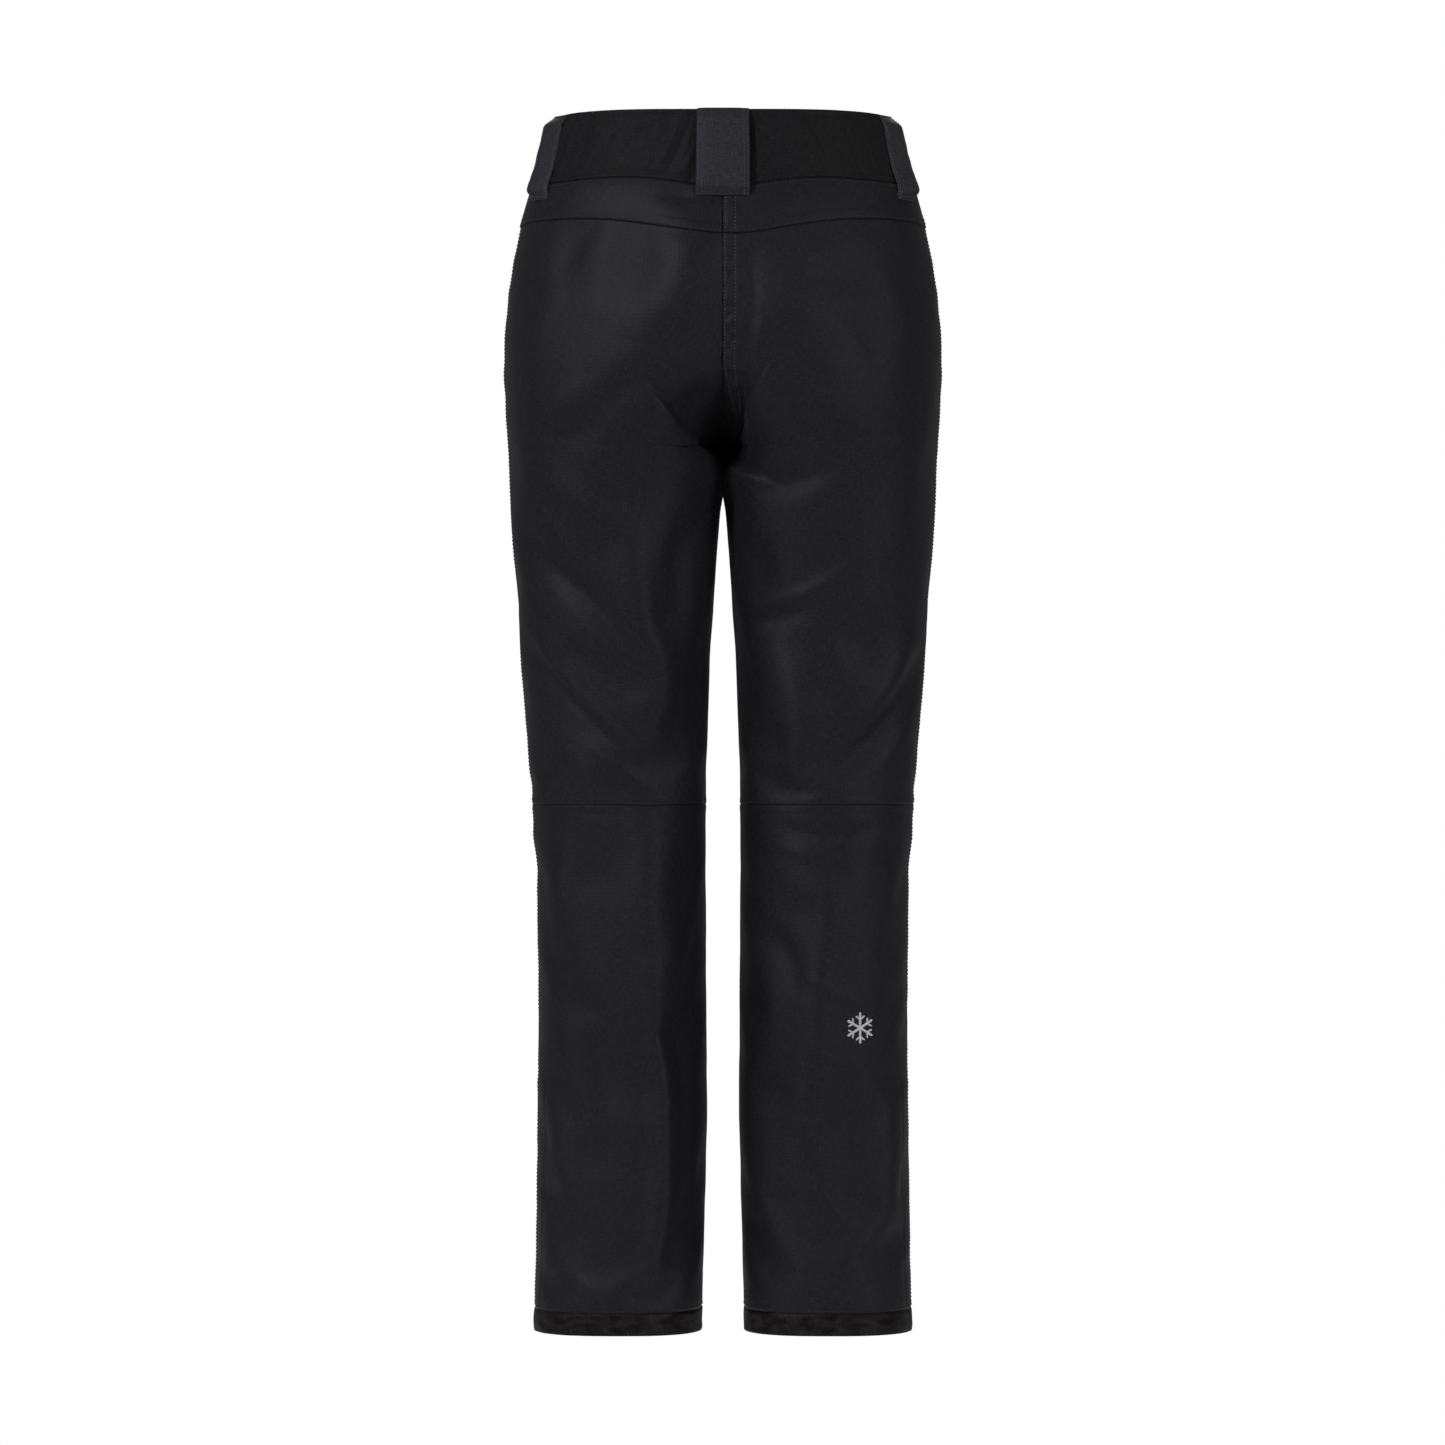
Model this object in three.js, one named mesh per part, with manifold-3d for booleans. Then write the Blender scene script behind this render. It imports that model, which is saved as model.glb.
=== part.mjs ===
// Insulated ski pants, standing open as if worn: two legs, a seat with a yoke, an elasticated waistband with wide belt loops,
// a zip fly with a snapped waist tab, two zipped hand pockets, two zipped ankle vents and an inner snow gaiter in each leg.
// Millimetres, +Z up. The wearer faces -Y and the wearer's left leg is at +X. The origin is the centre of the waist opening, half way up the waistband.
import * as THREE from "three";
import { mergeVertices } from "three/addons/utils/BufferGeometryUtils.js";
import Module from "manifold-3d";

const wasm = await Module();
wasm.setup();

// ---------- driving dimensions (heights are above the hem) ----------
const HEIGHT = 1062; // hem to the top of the waistband
const CROTCH = 771;
const KNEE_SEAM = 460;
const HEM_BAND = 19;
const SHELL = 1.6; // outer fabric
const BAND = 3.4; // waistband, two layers with the elastic between
const HEM_FOLD = 4.2; // turned-up hem
const LINING_FROM = 4.3, LINING_TO = 7.3; // quilted lining, measured in from the outer surface
const ORIGIN = 1030; // height of the origin above the hem
const THIGH_TOP = 742; // top of what turns with the thigh
const SHIN_TOP = 346; // top of what turns with the shin
const HALF = 10; // facets from the centre seam to the side seam
const GAP = 0.5; // between pieces that are sewn edge to edge
const SIDE_LOOP_U = [0.412, 0.38]; // belt loops at the sides of the back, at the top and at the bottom
const POCKET = { u0: 0.66, z0: 972, u1: 0.585, z1: 880, shut: 80, open: 12 };
const ZIP_SLIDER = { w: 8.4, h: 11, pull: 22 };

// ---------- outline tables: height, value ----------
const OUTER_X = [[0, 165.4], [5.8, 166.0], [23.5, 164.8], [58.8, 163.7], [128.8, 162.8], [199.8, 162], [269.8, 162], [340.3, 162.4], [375.8, 162.8], [410.8, 164], [445.8, 166.3], [480.8, 169], [516.3, 171.6], [551.8, 174], [586.8, 177], [621.8, 179.5], [656.8, 182], [692.3, 184.8], [727.5, 186.6], [749.8, 187.4], [775.8, 189], [801.8, 190.5], [828.8, 191.2], [854.8, 191.8], [881.8, 191], [894.8, 190], [907.8, 188.3], [920.8, 186], [934.3, 184], [947.8, 181.3], [960.8, 178.6], [973.8, 176], [986.8, 172.5], [1000.3, 168.3], [1005.8, 165.5], [1013.8, 161.5], [1026.8, 157], [1039.8, 152.8], [1052.8, 149], [1063.8, 145.5], [1071.8, 143]];
const INNER_X = [[0, 18.9], [5.8, 18.9], [23.8, 18.5], [58.8, 17.6], [93.8, 16.7], [128.8, 15.4], [199.8, 14.2], [269.8, 14.5], [375.8, 15], [410.8, 15.4], [445.8, 15.4], [480.8, 15], [516.3, 14], [551.8, 12.8], [586.8, 11.4], [621.8, 8.9], [656.8, 7.0], [691.8, 4.4], [714.3, 2.6], [722.8, 1.8], [735.8, 1.2], [756.8, 0.8], [769.8, 0.5]];
const BACK_Y = [[0, 84], [51.8, 83], [111.8, 82.5], [191.8, 83], [291.8, 83.5], [391.8, 83], [457.8, 85], [551.8, 91.5], [631.8, 99], [691.8, 106], [731.8, 112], [769.8, 120], [811.8, 131], [851.8, 137.5], [891.8, 139], [931.8, 135.5], [971.8, 127.5], [1003.8, 119], [1031.8, 113.5], [1071.8, 108]];
const FRONT_Y = [[0, 84], [51.8, 82], [111.8, 80.5], [191.8, 79.5], [291.8, 80.5], [391.8, 83.5], [457.8, 86], [551.8, 91], [631.8, 95], [691.8, 97.5], [731.8, 99.5], [769.8, 101.5], [811.8, 103.5], [841.8, 104], [991.8, 100.4], [1003.8, 100], [1031.8, 98.5], [1071.8, 96.5]];

// Monotone cubic through a table, so that outlines stay smooth without overshoot.
function curve(table) {
  const n = table.length, x = table.map((p) => p[0]), y = table.map((p) => p[1]);
  const d = [], m = new Array(n).fill(0);
  for (let i = 0; i < n - 1; i++) d.push((y[i + 1] - y[i]) / (x[i + 1] - x[i]));
  m[0] = d[0]; m[n - 1] = d[n - 2];
  for (let i = 1; i < n - 1; i++) m[i] = d[i - 1] * d[i] <= 0 ? 0 : (2 * d[i - 1] * d[i]) / (d[i - 1] + d[i]);
  return (t) => {
    if (t <= x[0]) return y[0];
    if (t >= x[n - 1]) return y[n - 1];
    let i = 0;
    while (t > x[i + 1]) i++;
    const h = x[i + 1] - x[i], s = (t - x[i]) / h, s2 = s * s, s3 = s2 * s;
    return y[i] * (2 * s3 - 3 * s2 + 1) + h * m[i] * (s3 - 2 * s2 + s) + y[i + 1] * (3 * s2 - 2 * s3) + h * m[i + 1] * (s3 - s2);
  };
}
const outerX = curve(OUTER_X), innerX = curve(INNER_X), backY = curve(BACK_Y), frontY = curve(FRONT_Y);
const exponent = curve([[0, 2.5], [120, 2.3], [400, 2.2], [700, 2.15], [900, 2.2], [1080, 2.25]]);

// How far each leg's lobe still stands apart above the crotch: 1 at the crotch, 0 where the seat is one smooth round.
const lobe = (z, height, power) => Math.pow(Math.max(0, 1 - (z - CROTCH) / height), power);

// One leg's half of the horizontal section at a height: from the centre back (or the inseam) round the outside to the centre front (or the inseam).
const sections = new Map();
function section(z) {
  const key = z.toFixed(3);
  if (sections.has(key)) return sections.get(key);
  const xo = outerX(z), n = exponent(z), halves = [];
  for (const back of [true, false]) {
    let a, cx, rho = 1;
    if (z >= CROTCH) {
      rho = back ? lobe(z, 145, 1.35) : lobe(z, 85, 1.4);
      const xi = 0.5 * rho;
      a = (xo - xi * rho) / (1 + rho);
      cx = xo - a;
      rho = Math.min(1, (cx - xi * (rho > 0.999 ? 1 : 0)) / a);
    } else {
      a = (xo - innerX(z)) / 2;
      cx = (xo + innerX(z)) / 2;
    }
    const b = back ? backY(z) : -frontY(z);
    const end = rho >= 1 ? Math.PI : Math.acos(-Math.pow(rho, n / 2));
    const pts = [];
    for (let k = 0; k <= 96; k++) {
      const f = (end * k) / 96, c = Math.cos(f), s = Math.sin(f);
      pts.push([cx + a * Math.sign(c) * Math.pow(Math.abs(c), 2 / n), b * Math.pow(Math.max(0, s), 2 / n)]);
    }
    const len = [0];
    for (let k = 1; k < pts.length; k++) len.push(len[k - 1] + Math.hypot(pts[k][0] - pts[k - 1][0], pts[k][1] - pts[k - 1][1]));
    halves.push({ pts, len, total: len[96] });
  }
  const made = { back: halves[0], front: halves[1] };
  sections.set(key, made);
  return made;
}
// Point on the outer surface: u is 0 at the centre back or inseam, 0.5 at the side seam, 1 at the centre front or inseam. nudge moves it along the section, in mm.
function onSection(u, z, nudge = 0) {
  const s = section(z), half = u < 0.5 || (u === 0.5 && nudge < 0) ? s.back : s.front;
  let d = half === s.back ? (1 - u / 0.5) * half.total - nudge : ((u - 0.5) / 0.5) * half.total + nudge;
  d = Math.min(half.total, Math.max(0, d));
  let k = 1;
  while (k < 96 && half.len[k] < d) k++;
  const f = (d - half.len[k - 1]) / (half.len[k] - half.len[k - 1] || 1);
  const p = half.pts[k - 1], q = half.pts[k];
  return [p[0] + (q[0] - p[0]) * f, p[1] + (q[1] - p[1]) * f];
}
function normalAt(u, z, nudge = 0) {
  const e = 1.5, q0 = onSection(u, z, nudge - e), q1 = onSection(u, z, nudge + e);
  const tx = q1[0] - q0[0], ty = q1[1] - q0[1], l = Math.hypot(tx, ty);
  return [-ty / l, tx / l];
}
// A point set in from the outer surface by so many mm (outside it when negative).
function surface(u, z, inward = 0, nudge = 0) {
  const p = onSection(u, z, nudge);
  let [nx, ny] = normalAt(u, z, nudge);
  if ((u === 0 || u === 1) && z > CROTCH) { // on the centre seam the layers lie straight behind each other
    const stretch = Math.min(2.2, 1 / Math.abs(ny));
    nx = 0; ny = Math.sign(ny) * stretch;
  }
  return new THREE.Vector3(p[0] - nx * inward, p[1] - ny * inward, z);
}
// The place round the back (or front) of the section that has a given distance from the centre plane.
function uAt(x, z, back = true) {
  let lo = back ? 0 : 1, hi = 0.5;
  for (let i = 0; i < 40; i++) {
    const mid = (lo + hi) / 2;
    if (onSection(mid, z)[0] < x) lo = mid; else hi = mid;
  }
  return (lo + hi) / 2;
}

// ---------- mesh helpers ----------
function solid(geometry) {
  const g = geometry.index ? geometry.toNonIndexed() : geometry.clone();
  const bare = new THREE.BufferGeometry().setAttribute("position", g.getAttribute("position"));
  const m = mergeVertices(bare, 1e-4);
  let s = new wasm.Manifold(new wasm.Mesh({ numProp: 3, vertProperties: new Float32Array(m.attributes.position.array), triVerts: new Uint32Array(m.index.array) }));
  return s;
}
function geometryOf(s) {
  const m = s.getMesh(), v = new Float32Array(m.numVert * 3);
  for (let i = 0; i < m.numVert; i++) v.set(m.vertProperties.subarray(i * m.numProp, i * m.numProp + 3), i * 3);
  const g = new THREE.BufferGeometry().setAttribute("position", new THREE.BufferAttribute(v, 3)).setIndex(new THREE.BufferAttribute(m.triVerts, 1));
  g.computeVertexNormals();
  return g;
}
// A closed fabric panel from a grid of outer points and a grid of inner points: rows run down, columns run round.
function quilt(outer, inner, ring = false) {
  const rows = outer.length, cols = outer[0].length, pos = [], idx = [];
  for (const grid of [outer, inner]) for (const row of grid) for (const p of row) pos.push(p.x, p.y, p.z);
  const o = (r, c) => r * cols + (ring ? c % cols : c), n = (r, c) => rows * cols + o(r, c);
  const quad = (a, b, c, d) => idx.push(a, b, c, a, c, d);
  const last = ring ? cols : cols - 1;
  for (let r = 0; r < rows - 1; r++) for (let c = 0; c < last; c++) {
    quad(o(r, c), o(r + 1, c), o(r + 1, c + 1), o(r, c + 1));
    quad(n(r, c), n(r, c + 1), n(r + 1, c + 1), n(r + 1, c));
  }
  for (let c = 0; c < last; c++) {
    quad(o(0, c), o(0, c + 1), n(0, c + 1), n(0, c));
    quad(o(rows - 1, c), n(rows - 1, c), n(rows - 1, c + 1), o(rows - 1, c + 1));
  }
  if (!ring) for (let r = 0; r < rows - 1; r++) {
    quad(o(r, 0), n(r, 0), n(r + 1, 0), o(r + 1, 0));
    quad(o(r, cols - 1), o(r + 1, cols - 1), n(r + 1, cols - 1), n(r, cols - 1));
  }
  const g = new THREE.BufferGeometry().setAttribute("position", new THREE.BufferAttribute(new Float32Array(pos), 3));
  g.setIndex(idx);
  let s = solid(g);
  if (s.volume() < 0) {
    for (let i = 0; i < idx.length; i += 3) [idx[i + 1], idx[i + 2]] = [idx[i + 2], idx[i + 1]];
    g.setIndex(idx);
    s = solid(g);
  }
  return geometryOf(s);
}
const lerp = (a, b, t) => a + (b - a) * t;
const call = (f, ...a) => (typeof f === "function" ? f(...a) : f);

// A panel of one leg between two seam lines and two places round the section. Every layer shares the same rows and columns, so layers never cross.
function panel({ side, from = 0, to = 1, top, bottom, outside = 0, inside = SHELL, ring = false, cutTop = GAP / 2, cutBottom = GAP / 2 }) {
  const first = Math.round(from * 2 * HALF), last = Math.round(to * 2 * HALF), rows = rowsBetween(top, bottom);
  const grids = [outside, inside].map((inward) =>
    rows.map((height, r) => {
      const row = [];
      for (let c = first; c <= (ring ? last - 1 : last); c++) {
        const u = c / (2 * HALF);
        const z = height(u) - (r === 0 ? cutTop : 0) + (r === rows.length - 1 ? cutBottom : 0);
        const nudge = ring ? 0 : c === first ? GAP / 2 : c === last ? -GAP / 2 : 0;
        const p = surface(u, z, call(inward, u, z), nudge);
        if ((u === 0 || u === 1) && z > CROTCH) p.x = GAP / 2;
        p.x *= side;
        row.push(p);
      }
      return row;
    }));
  return quilt(grids[0], grids[1], ring);
}
// A flat strip, block or plate standing on the surface: x across, y up the surface, z outwards.
function frameAt(u, z, side, up = new THREE.Vector3(0, 0, 1), nudge = 0) {
  const [nx, ny] = normalAt(u, z, nudge);
  const out = new THREE.Vector3(nx * side, ny, 0);
  const y = up.clone().normalize();
  out.addScaledVector(y, -out.dot(y)).normalize();
  const x = new THREE.Vector3().crossVectors(y, out);
  return new THREE.Matrix4().makeBasis(x, y, out);
}
const box = (w, h, d) => new THREE.BoxGeometry(w, h, d);
const toSolid = (g) => solid(g);
function block(w, h, d, bevel = 0) {
  if (!bevel) return toSolid(box(w, h, d));
  const b = bevel;
  return toSolid(box(w, h - 2 * b, d - 2 * b)).add(toSolid(box(w - 2 * b, h, d - 2 * b))).add(toSolid(box(w - 2 * b, h - 2 * b, d))).hull();
}
const placed = (s, basis, at) => {
  const m = basis.clone().setPosition(at);
  return geometryOf(s.transform(m.elements));
};

// ---------- materials ----------
const cloth = (r, g, b, rough = 0.78) => new THREE.MeshStandardMaterial({ color: new THREE.Color(r, g, b), roughness: rough, metalness: 0 });
const shellFabric = cloth(0.021, 0.021, 0.026), lowerFabric = cloth(0.02, 0.02, 0.023), bandFabric = cloth(0.016, 0.016, 0.018), loopFabric = cloth(0.03, 0.029, 0.033), hemFabric = cloth(0.016, 0.013, 0.013, 0.5);
const liningFabric = cloth(0.03, 0.03, 0.033, 0.6), gaiterFabric = cloth(0.025, 0.025, 0.028, 0.55), tapeFabric = cloth(0.012, 0.012, 0.013, 0.8), pocketFabric = cloth(0.03, 0.03, 0.032, 0.85);
const metal = new THREE.MeshStandardMaterial({ color: new THREE.Color(0.06, 0.06, 0.065), roughness: 0.35, metalness: 1 });
const cordPlastic = new THREE.MeshStandardMaterial({ color: new THREE.Color(0.02, 0.02, 0.02), roughness: 0.5, metalness: 0 });

const pants = new THREE.Group();
const body = new THREE.Group(); // heights above the hem, lowered so that the waist is at the origin
body.position.z = -ORIGIN;
pants.add(body);
function add(name, geometry, material, parent = body) {
  const m = new THREE.Mesh(geometry, material);
  m.name = name;
  parent.add(m);
  return m;
}

// ---------- seam lines, as heights against u ----------
const bell = (u, at, w) => Math.exp(-(((u - at) / w) ** 2));
const frontDip = (u) => 20 * Math.max(0, (u - 0.5) / 0.5) ** 1.6;
const LINES = {
  bandTop: (u) => HEIGHT - 1.5 * bell(u, 0, 0.2) - frontDip(u),
  bandBottom: (u) => 1000 - 7 * bell(u, 0, 0.1) + 2.5 * bell(u, 0.2, 0.12) - frontDip(u),
  yokeBottom: (u) => (u <= 0.5 ? 951 + 16.5 * (1 - bell(u, 0, 0.15)) - 2.5 * Math.max(0, (u - 0.3) / 0.2) ** 2 : lerp(965, 940, (u - 0.5) / 0.5)),
  hipLine: (u) => (u <= 0.5 ? lerp(819, 876, u / 0.5) : lerp(876, 860, (u - 0.5) / 0.5)),
  thighTop: () => THIGH_TOP,
  kneeSeam: () => KNEE_SEAM,
  shinTop: () => SHIN_TOP,
  gaiterTop: () => 230,
  hemSeam: () => HEM_BAND,
  hem: () => 0,
};
const ORDER = Object.keys(LINES), ROWS = [2, 2, 4, 6, 5, 3, 2, 4, 1];
function rowsBetween(top, bottom) {
  const out = [];
  for (let i = ORDER.indexOf(top); i < ORDER.indexOf(bottom); i++)
    for (let r = 0; r < ROWS[i]; r++) out.push((u) => lerp(LINES[ORDER[i]](u), LINES[ORDER[i + 1]](u), r / ROWS[i]));
  out.push(LINES[bottom]);
  return out;
}

// ---------- waistband across the back, one piece from side seam to side seam ----------
{
  const rows = rowsBetween("bandTop", "bandBottom");
  const grids = [0, BAND].map((inward) =>
    rows.map((height, r) => {
      const row = [];
      for (let c = -HALF; c <= HALF; c++) {
        const u = Math.abs(c) / (2 * HALF), z = height(u) + (r === rows.length - 1 ? GAP / 2 : 0);
        const p = surface(u, z, inward, Math.abs(c) === HALF ? -GAP / 2 : 0);
        p.x *= Math.sign(c);
        row.push(p);
      }
      return row;
    }));
  add("waistband_back", quilt(grids[0], grids[1]), bandFabric);
}

// ---------- zips: a straight tape with the teeth closed, a slider and its pull ----------
function zip(name, side, u0, z0, u1, z1, { width, slider, slideTo, lift = 0.45 }) {
  const a = surface(u0, z0, -lift), b = surface(u1, z1, -lift);
  for (const p of [a, b]) p.x *= side;
  const up = a.clone().sub(b), length = up.length(), dir = up.clone().normalize();
  const basis = frameAt((u0 + u1) / 2, (z0 + z1) / 2, side, up);
  const e = basis.elements, out = new THREE.Vector3(e[8], e[9], e[10]);
  // raise the tape until the whole of it clears the cloth
  let raise = 0;
  for (let i = 0; i <= 24; i++) {
    const t = i / 24, p = surface(lerp(u0, u1, t), lerp(z0, z1, t), -lift);
    p.x *= side;
    raise = Math.max(raise, p.sub(a.clone().lerp(b, t)).dot(out));
  }
  const TAPE = 0.9, TEETH = 1.9, middle = a.clone().lerp(b, 0.5).addScaledVector(out, raise);
  const tape = block(width, length, TAPE).translate([0, 0, TAPE / 2]).add(block(4.6, length - 3, TEETH).translate([0, 0, TEETH / 2]));
  add(name + "_zip_tape", placed(tape, basis, middle), tapeFabric);
  // slider: a bridge over two wings, clear of the teeth
  const s = ZIP_SLIDER;
  const wings = block(s.w, s.h, 1.5, 0.4).translate([0, 0, TEETH + 0.35 + 0.75]);
  const bridge = block(2.6, 6.4, 2.0, 0.3).translate([0, 0.6, TEETH + 0.35 + 2.0]);
  const at = b.clone().addScaledVector(dir, slider).addScaledVector(out, raise);
  add(name + "_zip_slider", placed(wings.add(bridge), basis, at), metal);
  // pull: a plate with a hole at the free end, hung on a ring through the bridge, lying against the zip at rest
  const L = s.pull, w = 2.1, W = 3.4;
  const outline = [[w, 0.6], [-w, 0.6], [-w, -6], [-W, -L + 3], [-W + 1.4, -L], [W - 1.4, -L], [W, -L + 3], [w, -6]];
  const eye = wasm.CrossSection.circle(1.9, 12).translate([0, -L + 4.6]);
  const plate = new wasm.CrossSection([outline]).subtract(eye).extrude(1.3).translate([0, 0, TEETH + 0.35 + 3.55]);
  add(name + "_zip_pull", placed(plate, basis, at), metal);
  const pivot = at.clone().addScaledVector(out, TEETH + 0.35 + 3.55 + 0.65);
  report[name] = { dir: dir.toArray(), across: [e[0], e[1], e[2]], out: out.toArray(), pivot: pivot.toArray(), slider, slideTo, travel: slideTo - slider, length, raise };
}
const report = {};

for (const [hand, side] of [["left", 1], ["right", -1]]) {
  // ---- seat ----
  add("waistband_front_" + hand, panel({ side, from: 0.5, to: 1, top: "bandTop", bottom: "bandBottom", inside: BAND, cutTop: 0 }), bandFabric);
  add("back_yoke_" + hand, panel({ side, from: 0, to: 0.5, top: "bandBottom", bottom: "yokeBottom" }), shellFabric);
  add("seat_panel_" + hand, panel({ side, from: 0, to: 0.5, top: "yokeBottom", bottom: "hipLine" }), shellFabric);
  add("hip_panel_front_" + hand, panel({ side, from: 0.5, to: 1, top: "bandBottom", bottom: "hipLine" }), shellFabric);
  add("hip_crease_" + hand, panel({ side, from: 0, to: 1, top: "hipLine", bottom: "thighTop" }), shellFabric);
  add("seat_lining_" + hand, panel({ side, from: 0, to: 1, top: "bandBottom", bottom: "hipLine", outside: LINING_FROM, inside: LINING_TO }), liningFabric);
  add("pocket_bag_" + hand, panel({ side, from: 0.55, to: 0.8, top: "yokeBottom", bottom: "hipLine", outside: 2.1, inside: 3.7 }), pocketFabric);
  // ---- thigh ----
  add("thigh_panel_back_" + hand, panel({ side, from: 0, to: 0.5, top: "thighTop", bottom: "kneeSeam" }), shellFabric);
  add("thigh_panel_front_" + hand, panel({ side, from: 0.5, to: 1, top: "thighTop", bottom: "kneeSeam" }), shellFabric);
  add("thigh_lining_" + hand, panel({ side, top: "thighTop", bottom: "kneeSeam", outside: LINING_FROM, inside: LINING_TO, ring: true }), liningFabric);
  // ---- knee ----
  add("knee_bend_" + hand, panel({ side, top: "kneeSeam", bottom: "shinTop", ring: true }), lowerFabric);
  // ---- shin ----
  add("shin_panel_back_" + hand, panel({ side, from: 0, to: 0.5, top: "shinTop", bottom: "hemSeam" }), lowerFabric);
  add("shin_panel_front_" + hand, panel({ side, from: 0.5, to: 1, top: "shinTop", bottom: "hemSeam" }), lowerFabric);
  add("shin_lining_" + hand, panel({ side, top: "shinTop", bottom: "hemSeam", outside: LINING_FROM, inside: LINING_TO, ring: true }), liningFabric);
  add("snow_gaiter_" + hand, panel({ side, top: "gaiterTop", bottom: "hemSeam", outside: (u, z) => lerp(19, 8, Math.min(1, Math.max(0, (z - 40) / 190))), inside: (u, z) => lerp(20.4, 9.4, Math.min(1, Math.max(0, (z - 40) / 190))), ring: true }), gaiterFabric);
  add("hem_band_" + hand, panel({ side, top: "hemSeam", bottom: "hem", inside: HEM_FOLD, ring: true, cutBottom: 0 }), hemFabric);
  // ---- zips ----
  zip("pocket_" + hand, side, POCKET.u0, POCKET.z0, POCKET.u1, POCKET.z1, { width: 15, slider: POCKET.shut, slideTo: POCKET.open });
  zip("ankle_" + hand, side, 0.61, 212, 0.61, 22, { width: 15, slider: 12, slideTo: 176 });
}
zip("fly", 1, 1, 976, 1, 872, { width: 20, slider: 94, slideTo: 12 });

add("fly_shield", panel({ side: 1, from: 0.9, to: 1, top: "bandBottom", bottom: "hipLine", outside: 2.1, inside: 3.7 }), pocketFabric);

// ---------- belt loops: strips sewn down at both ends and standing off the waistband between ----------
function beltLoop(name, side, uEnds, width, zTop, zBottom, off) {
  const cols = 3, rows = 9, T = 1.5, outer = [], inner = [];
  for (let r = 0; r <= rows; r++) {
    const t = r / rows, z = lerp(zTop, zBottom, t), u = Array.isArray(uEnds) ? lerp(uEnds[0], uEnds[1], t) : uEnds;
    const end = Math.min(t, 1 - t) / 0.14, rise = end >= 1 ? 1 : end * end * (3 - 2 * end);
    const stand = lerp(0.45, off, rise);
    const ro = [], ri = [];
    for (let c = 0; c <= cols; c++) {
      const across = (c / cols - 0.5) * width * side;
      const mid = surface(u, z, 0), [nx, ny] = u === 0 ? [0, 1] : u === 1 ? [0, -1] : normalAt(u, z);
      const x = mid.x * side, n = new THREE.Vector3(nx * side, ny, 0), t2 = new THREE.Vector3(-ny, nx * side, 0);
      const sag = u === 0 ? -((across / width) ** 2) * 3 : 0;
      for (const [list, h] of [[ri, stand], [ro, stand + T]]) list.push(new THREE.Vector3(x, mid.y, z).addScaledVector(n, h + sag).addScaledVector(t2, across));
    }
    outer.push(ro); inner.push(ri);
  }
  add(name, quilt(outer, inner), loopFabric);
}
beltLoop("belt_loop_centre_back", 1, 0, 46, 1060.4, 985, 7.0);
for (const [hand, side] of [["left", 1], ["right", -1]]) {
  beltLoop("belt_loop_back_" + hand, side, SIDE_LOOP_U, 22, 1060.5, 986, 6.0);
  beltLoop("belt_loop_front_" + hand, side, 0.8, 17, 1052, 980, 6.6);
}

// ---------- waist tab: swings on its sewn end at the wearer's left, with two press studs ----------
const TAB = { from: 58, to: -46, low: 993, high: 1031, off: 3.0, thick: 2.2 };
{
  const cols = 12, rows = 2, outer = [], inner = [];
  for (let r = 0; r <= rows; r++) {
    const ro = [], ri = [];
    for (let c = 0; c <= cols; c++) {
      const x = lerp(TAB.from, TAB.to, c / cols), z0 = lerp(TAB.high, TAB.low, r / rows);
      const z = c === cols ? lerp((TAB.high + TAB.low) / 2, z0, 0.7) : z0;
      const p = frontPoint(x, z), n = frontNormal(x, z), off = lerp(0.6, TAB.off, Math.min(1, c / 2));
      ro.push(p.clone().addScaledVector(n, off + TAB.thick)); ri.push(p.clone().addScaledVector(n, off));
    }
    outer.push(ro); inner.push(ri);
  }
  add("waist_tab", quilt(outer, inner), bandFabric);
  for (const [i, x] of [[1, -10], [2, -33]]) {
    const z = 1012, p = frontPoint(x, z), n = frontNormal(x, z);
    const turn = new THREE.Matrix4().makeBasis(new THREE.Vector3().crossVectors(new THREE.Vector3(0, 0, 1), n), new THREE.Vector3(0, 0, 1), n);
    const stud = wasm.Manifold.cylinder(1.0, 6, 6, 20).add(wasm.Manifold.cylinder(1.2, 3.2, 3.4, 20).translate([0, 0, 1.0]));
    add("snap_stud_" + i, placed(stud, turn, p.clone().addScaledVector(n, 0.35)), metal);
    const cap = wasm.Manifold.cylinder(1.0, 7.5, 7.5, 24).add(wasm.Manifold.cylinder(0.9, 7.5, 5.2, 24).translate([0, 0, 1.0]));
    add("snap_cap_" + i, placed(cap, turn, p.clone().addScaledVector(n, TAB.off + TAB.thick + 0.6)), metal);
  }
  report.tab = { pivot: frontPoint(TAB.from, 1012).addScaledVector(frontNormal(TAB.from, 1012), 0.6 + TAB.thick / 2).toArray() };
}
function frontPoint(x, z) {
  const p = surface(uAt(Math.abs(x), z, false), z);
  return new THREE.Vector3(x, Math.abs(x) < 0.5 ? onSection(1, z)[1] : p.y, z);
}
function frontNormal(x, z) {
  if (Math.abs(x) < 3) return new THREE.Vector3(0, -1, 0);
  const [nx, ny] = normalAt(uAt(Math.abs(x), z, false), z);
  return new THREE.Vector3(nx * Math.sign(x), ny, 0);
}

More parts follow.
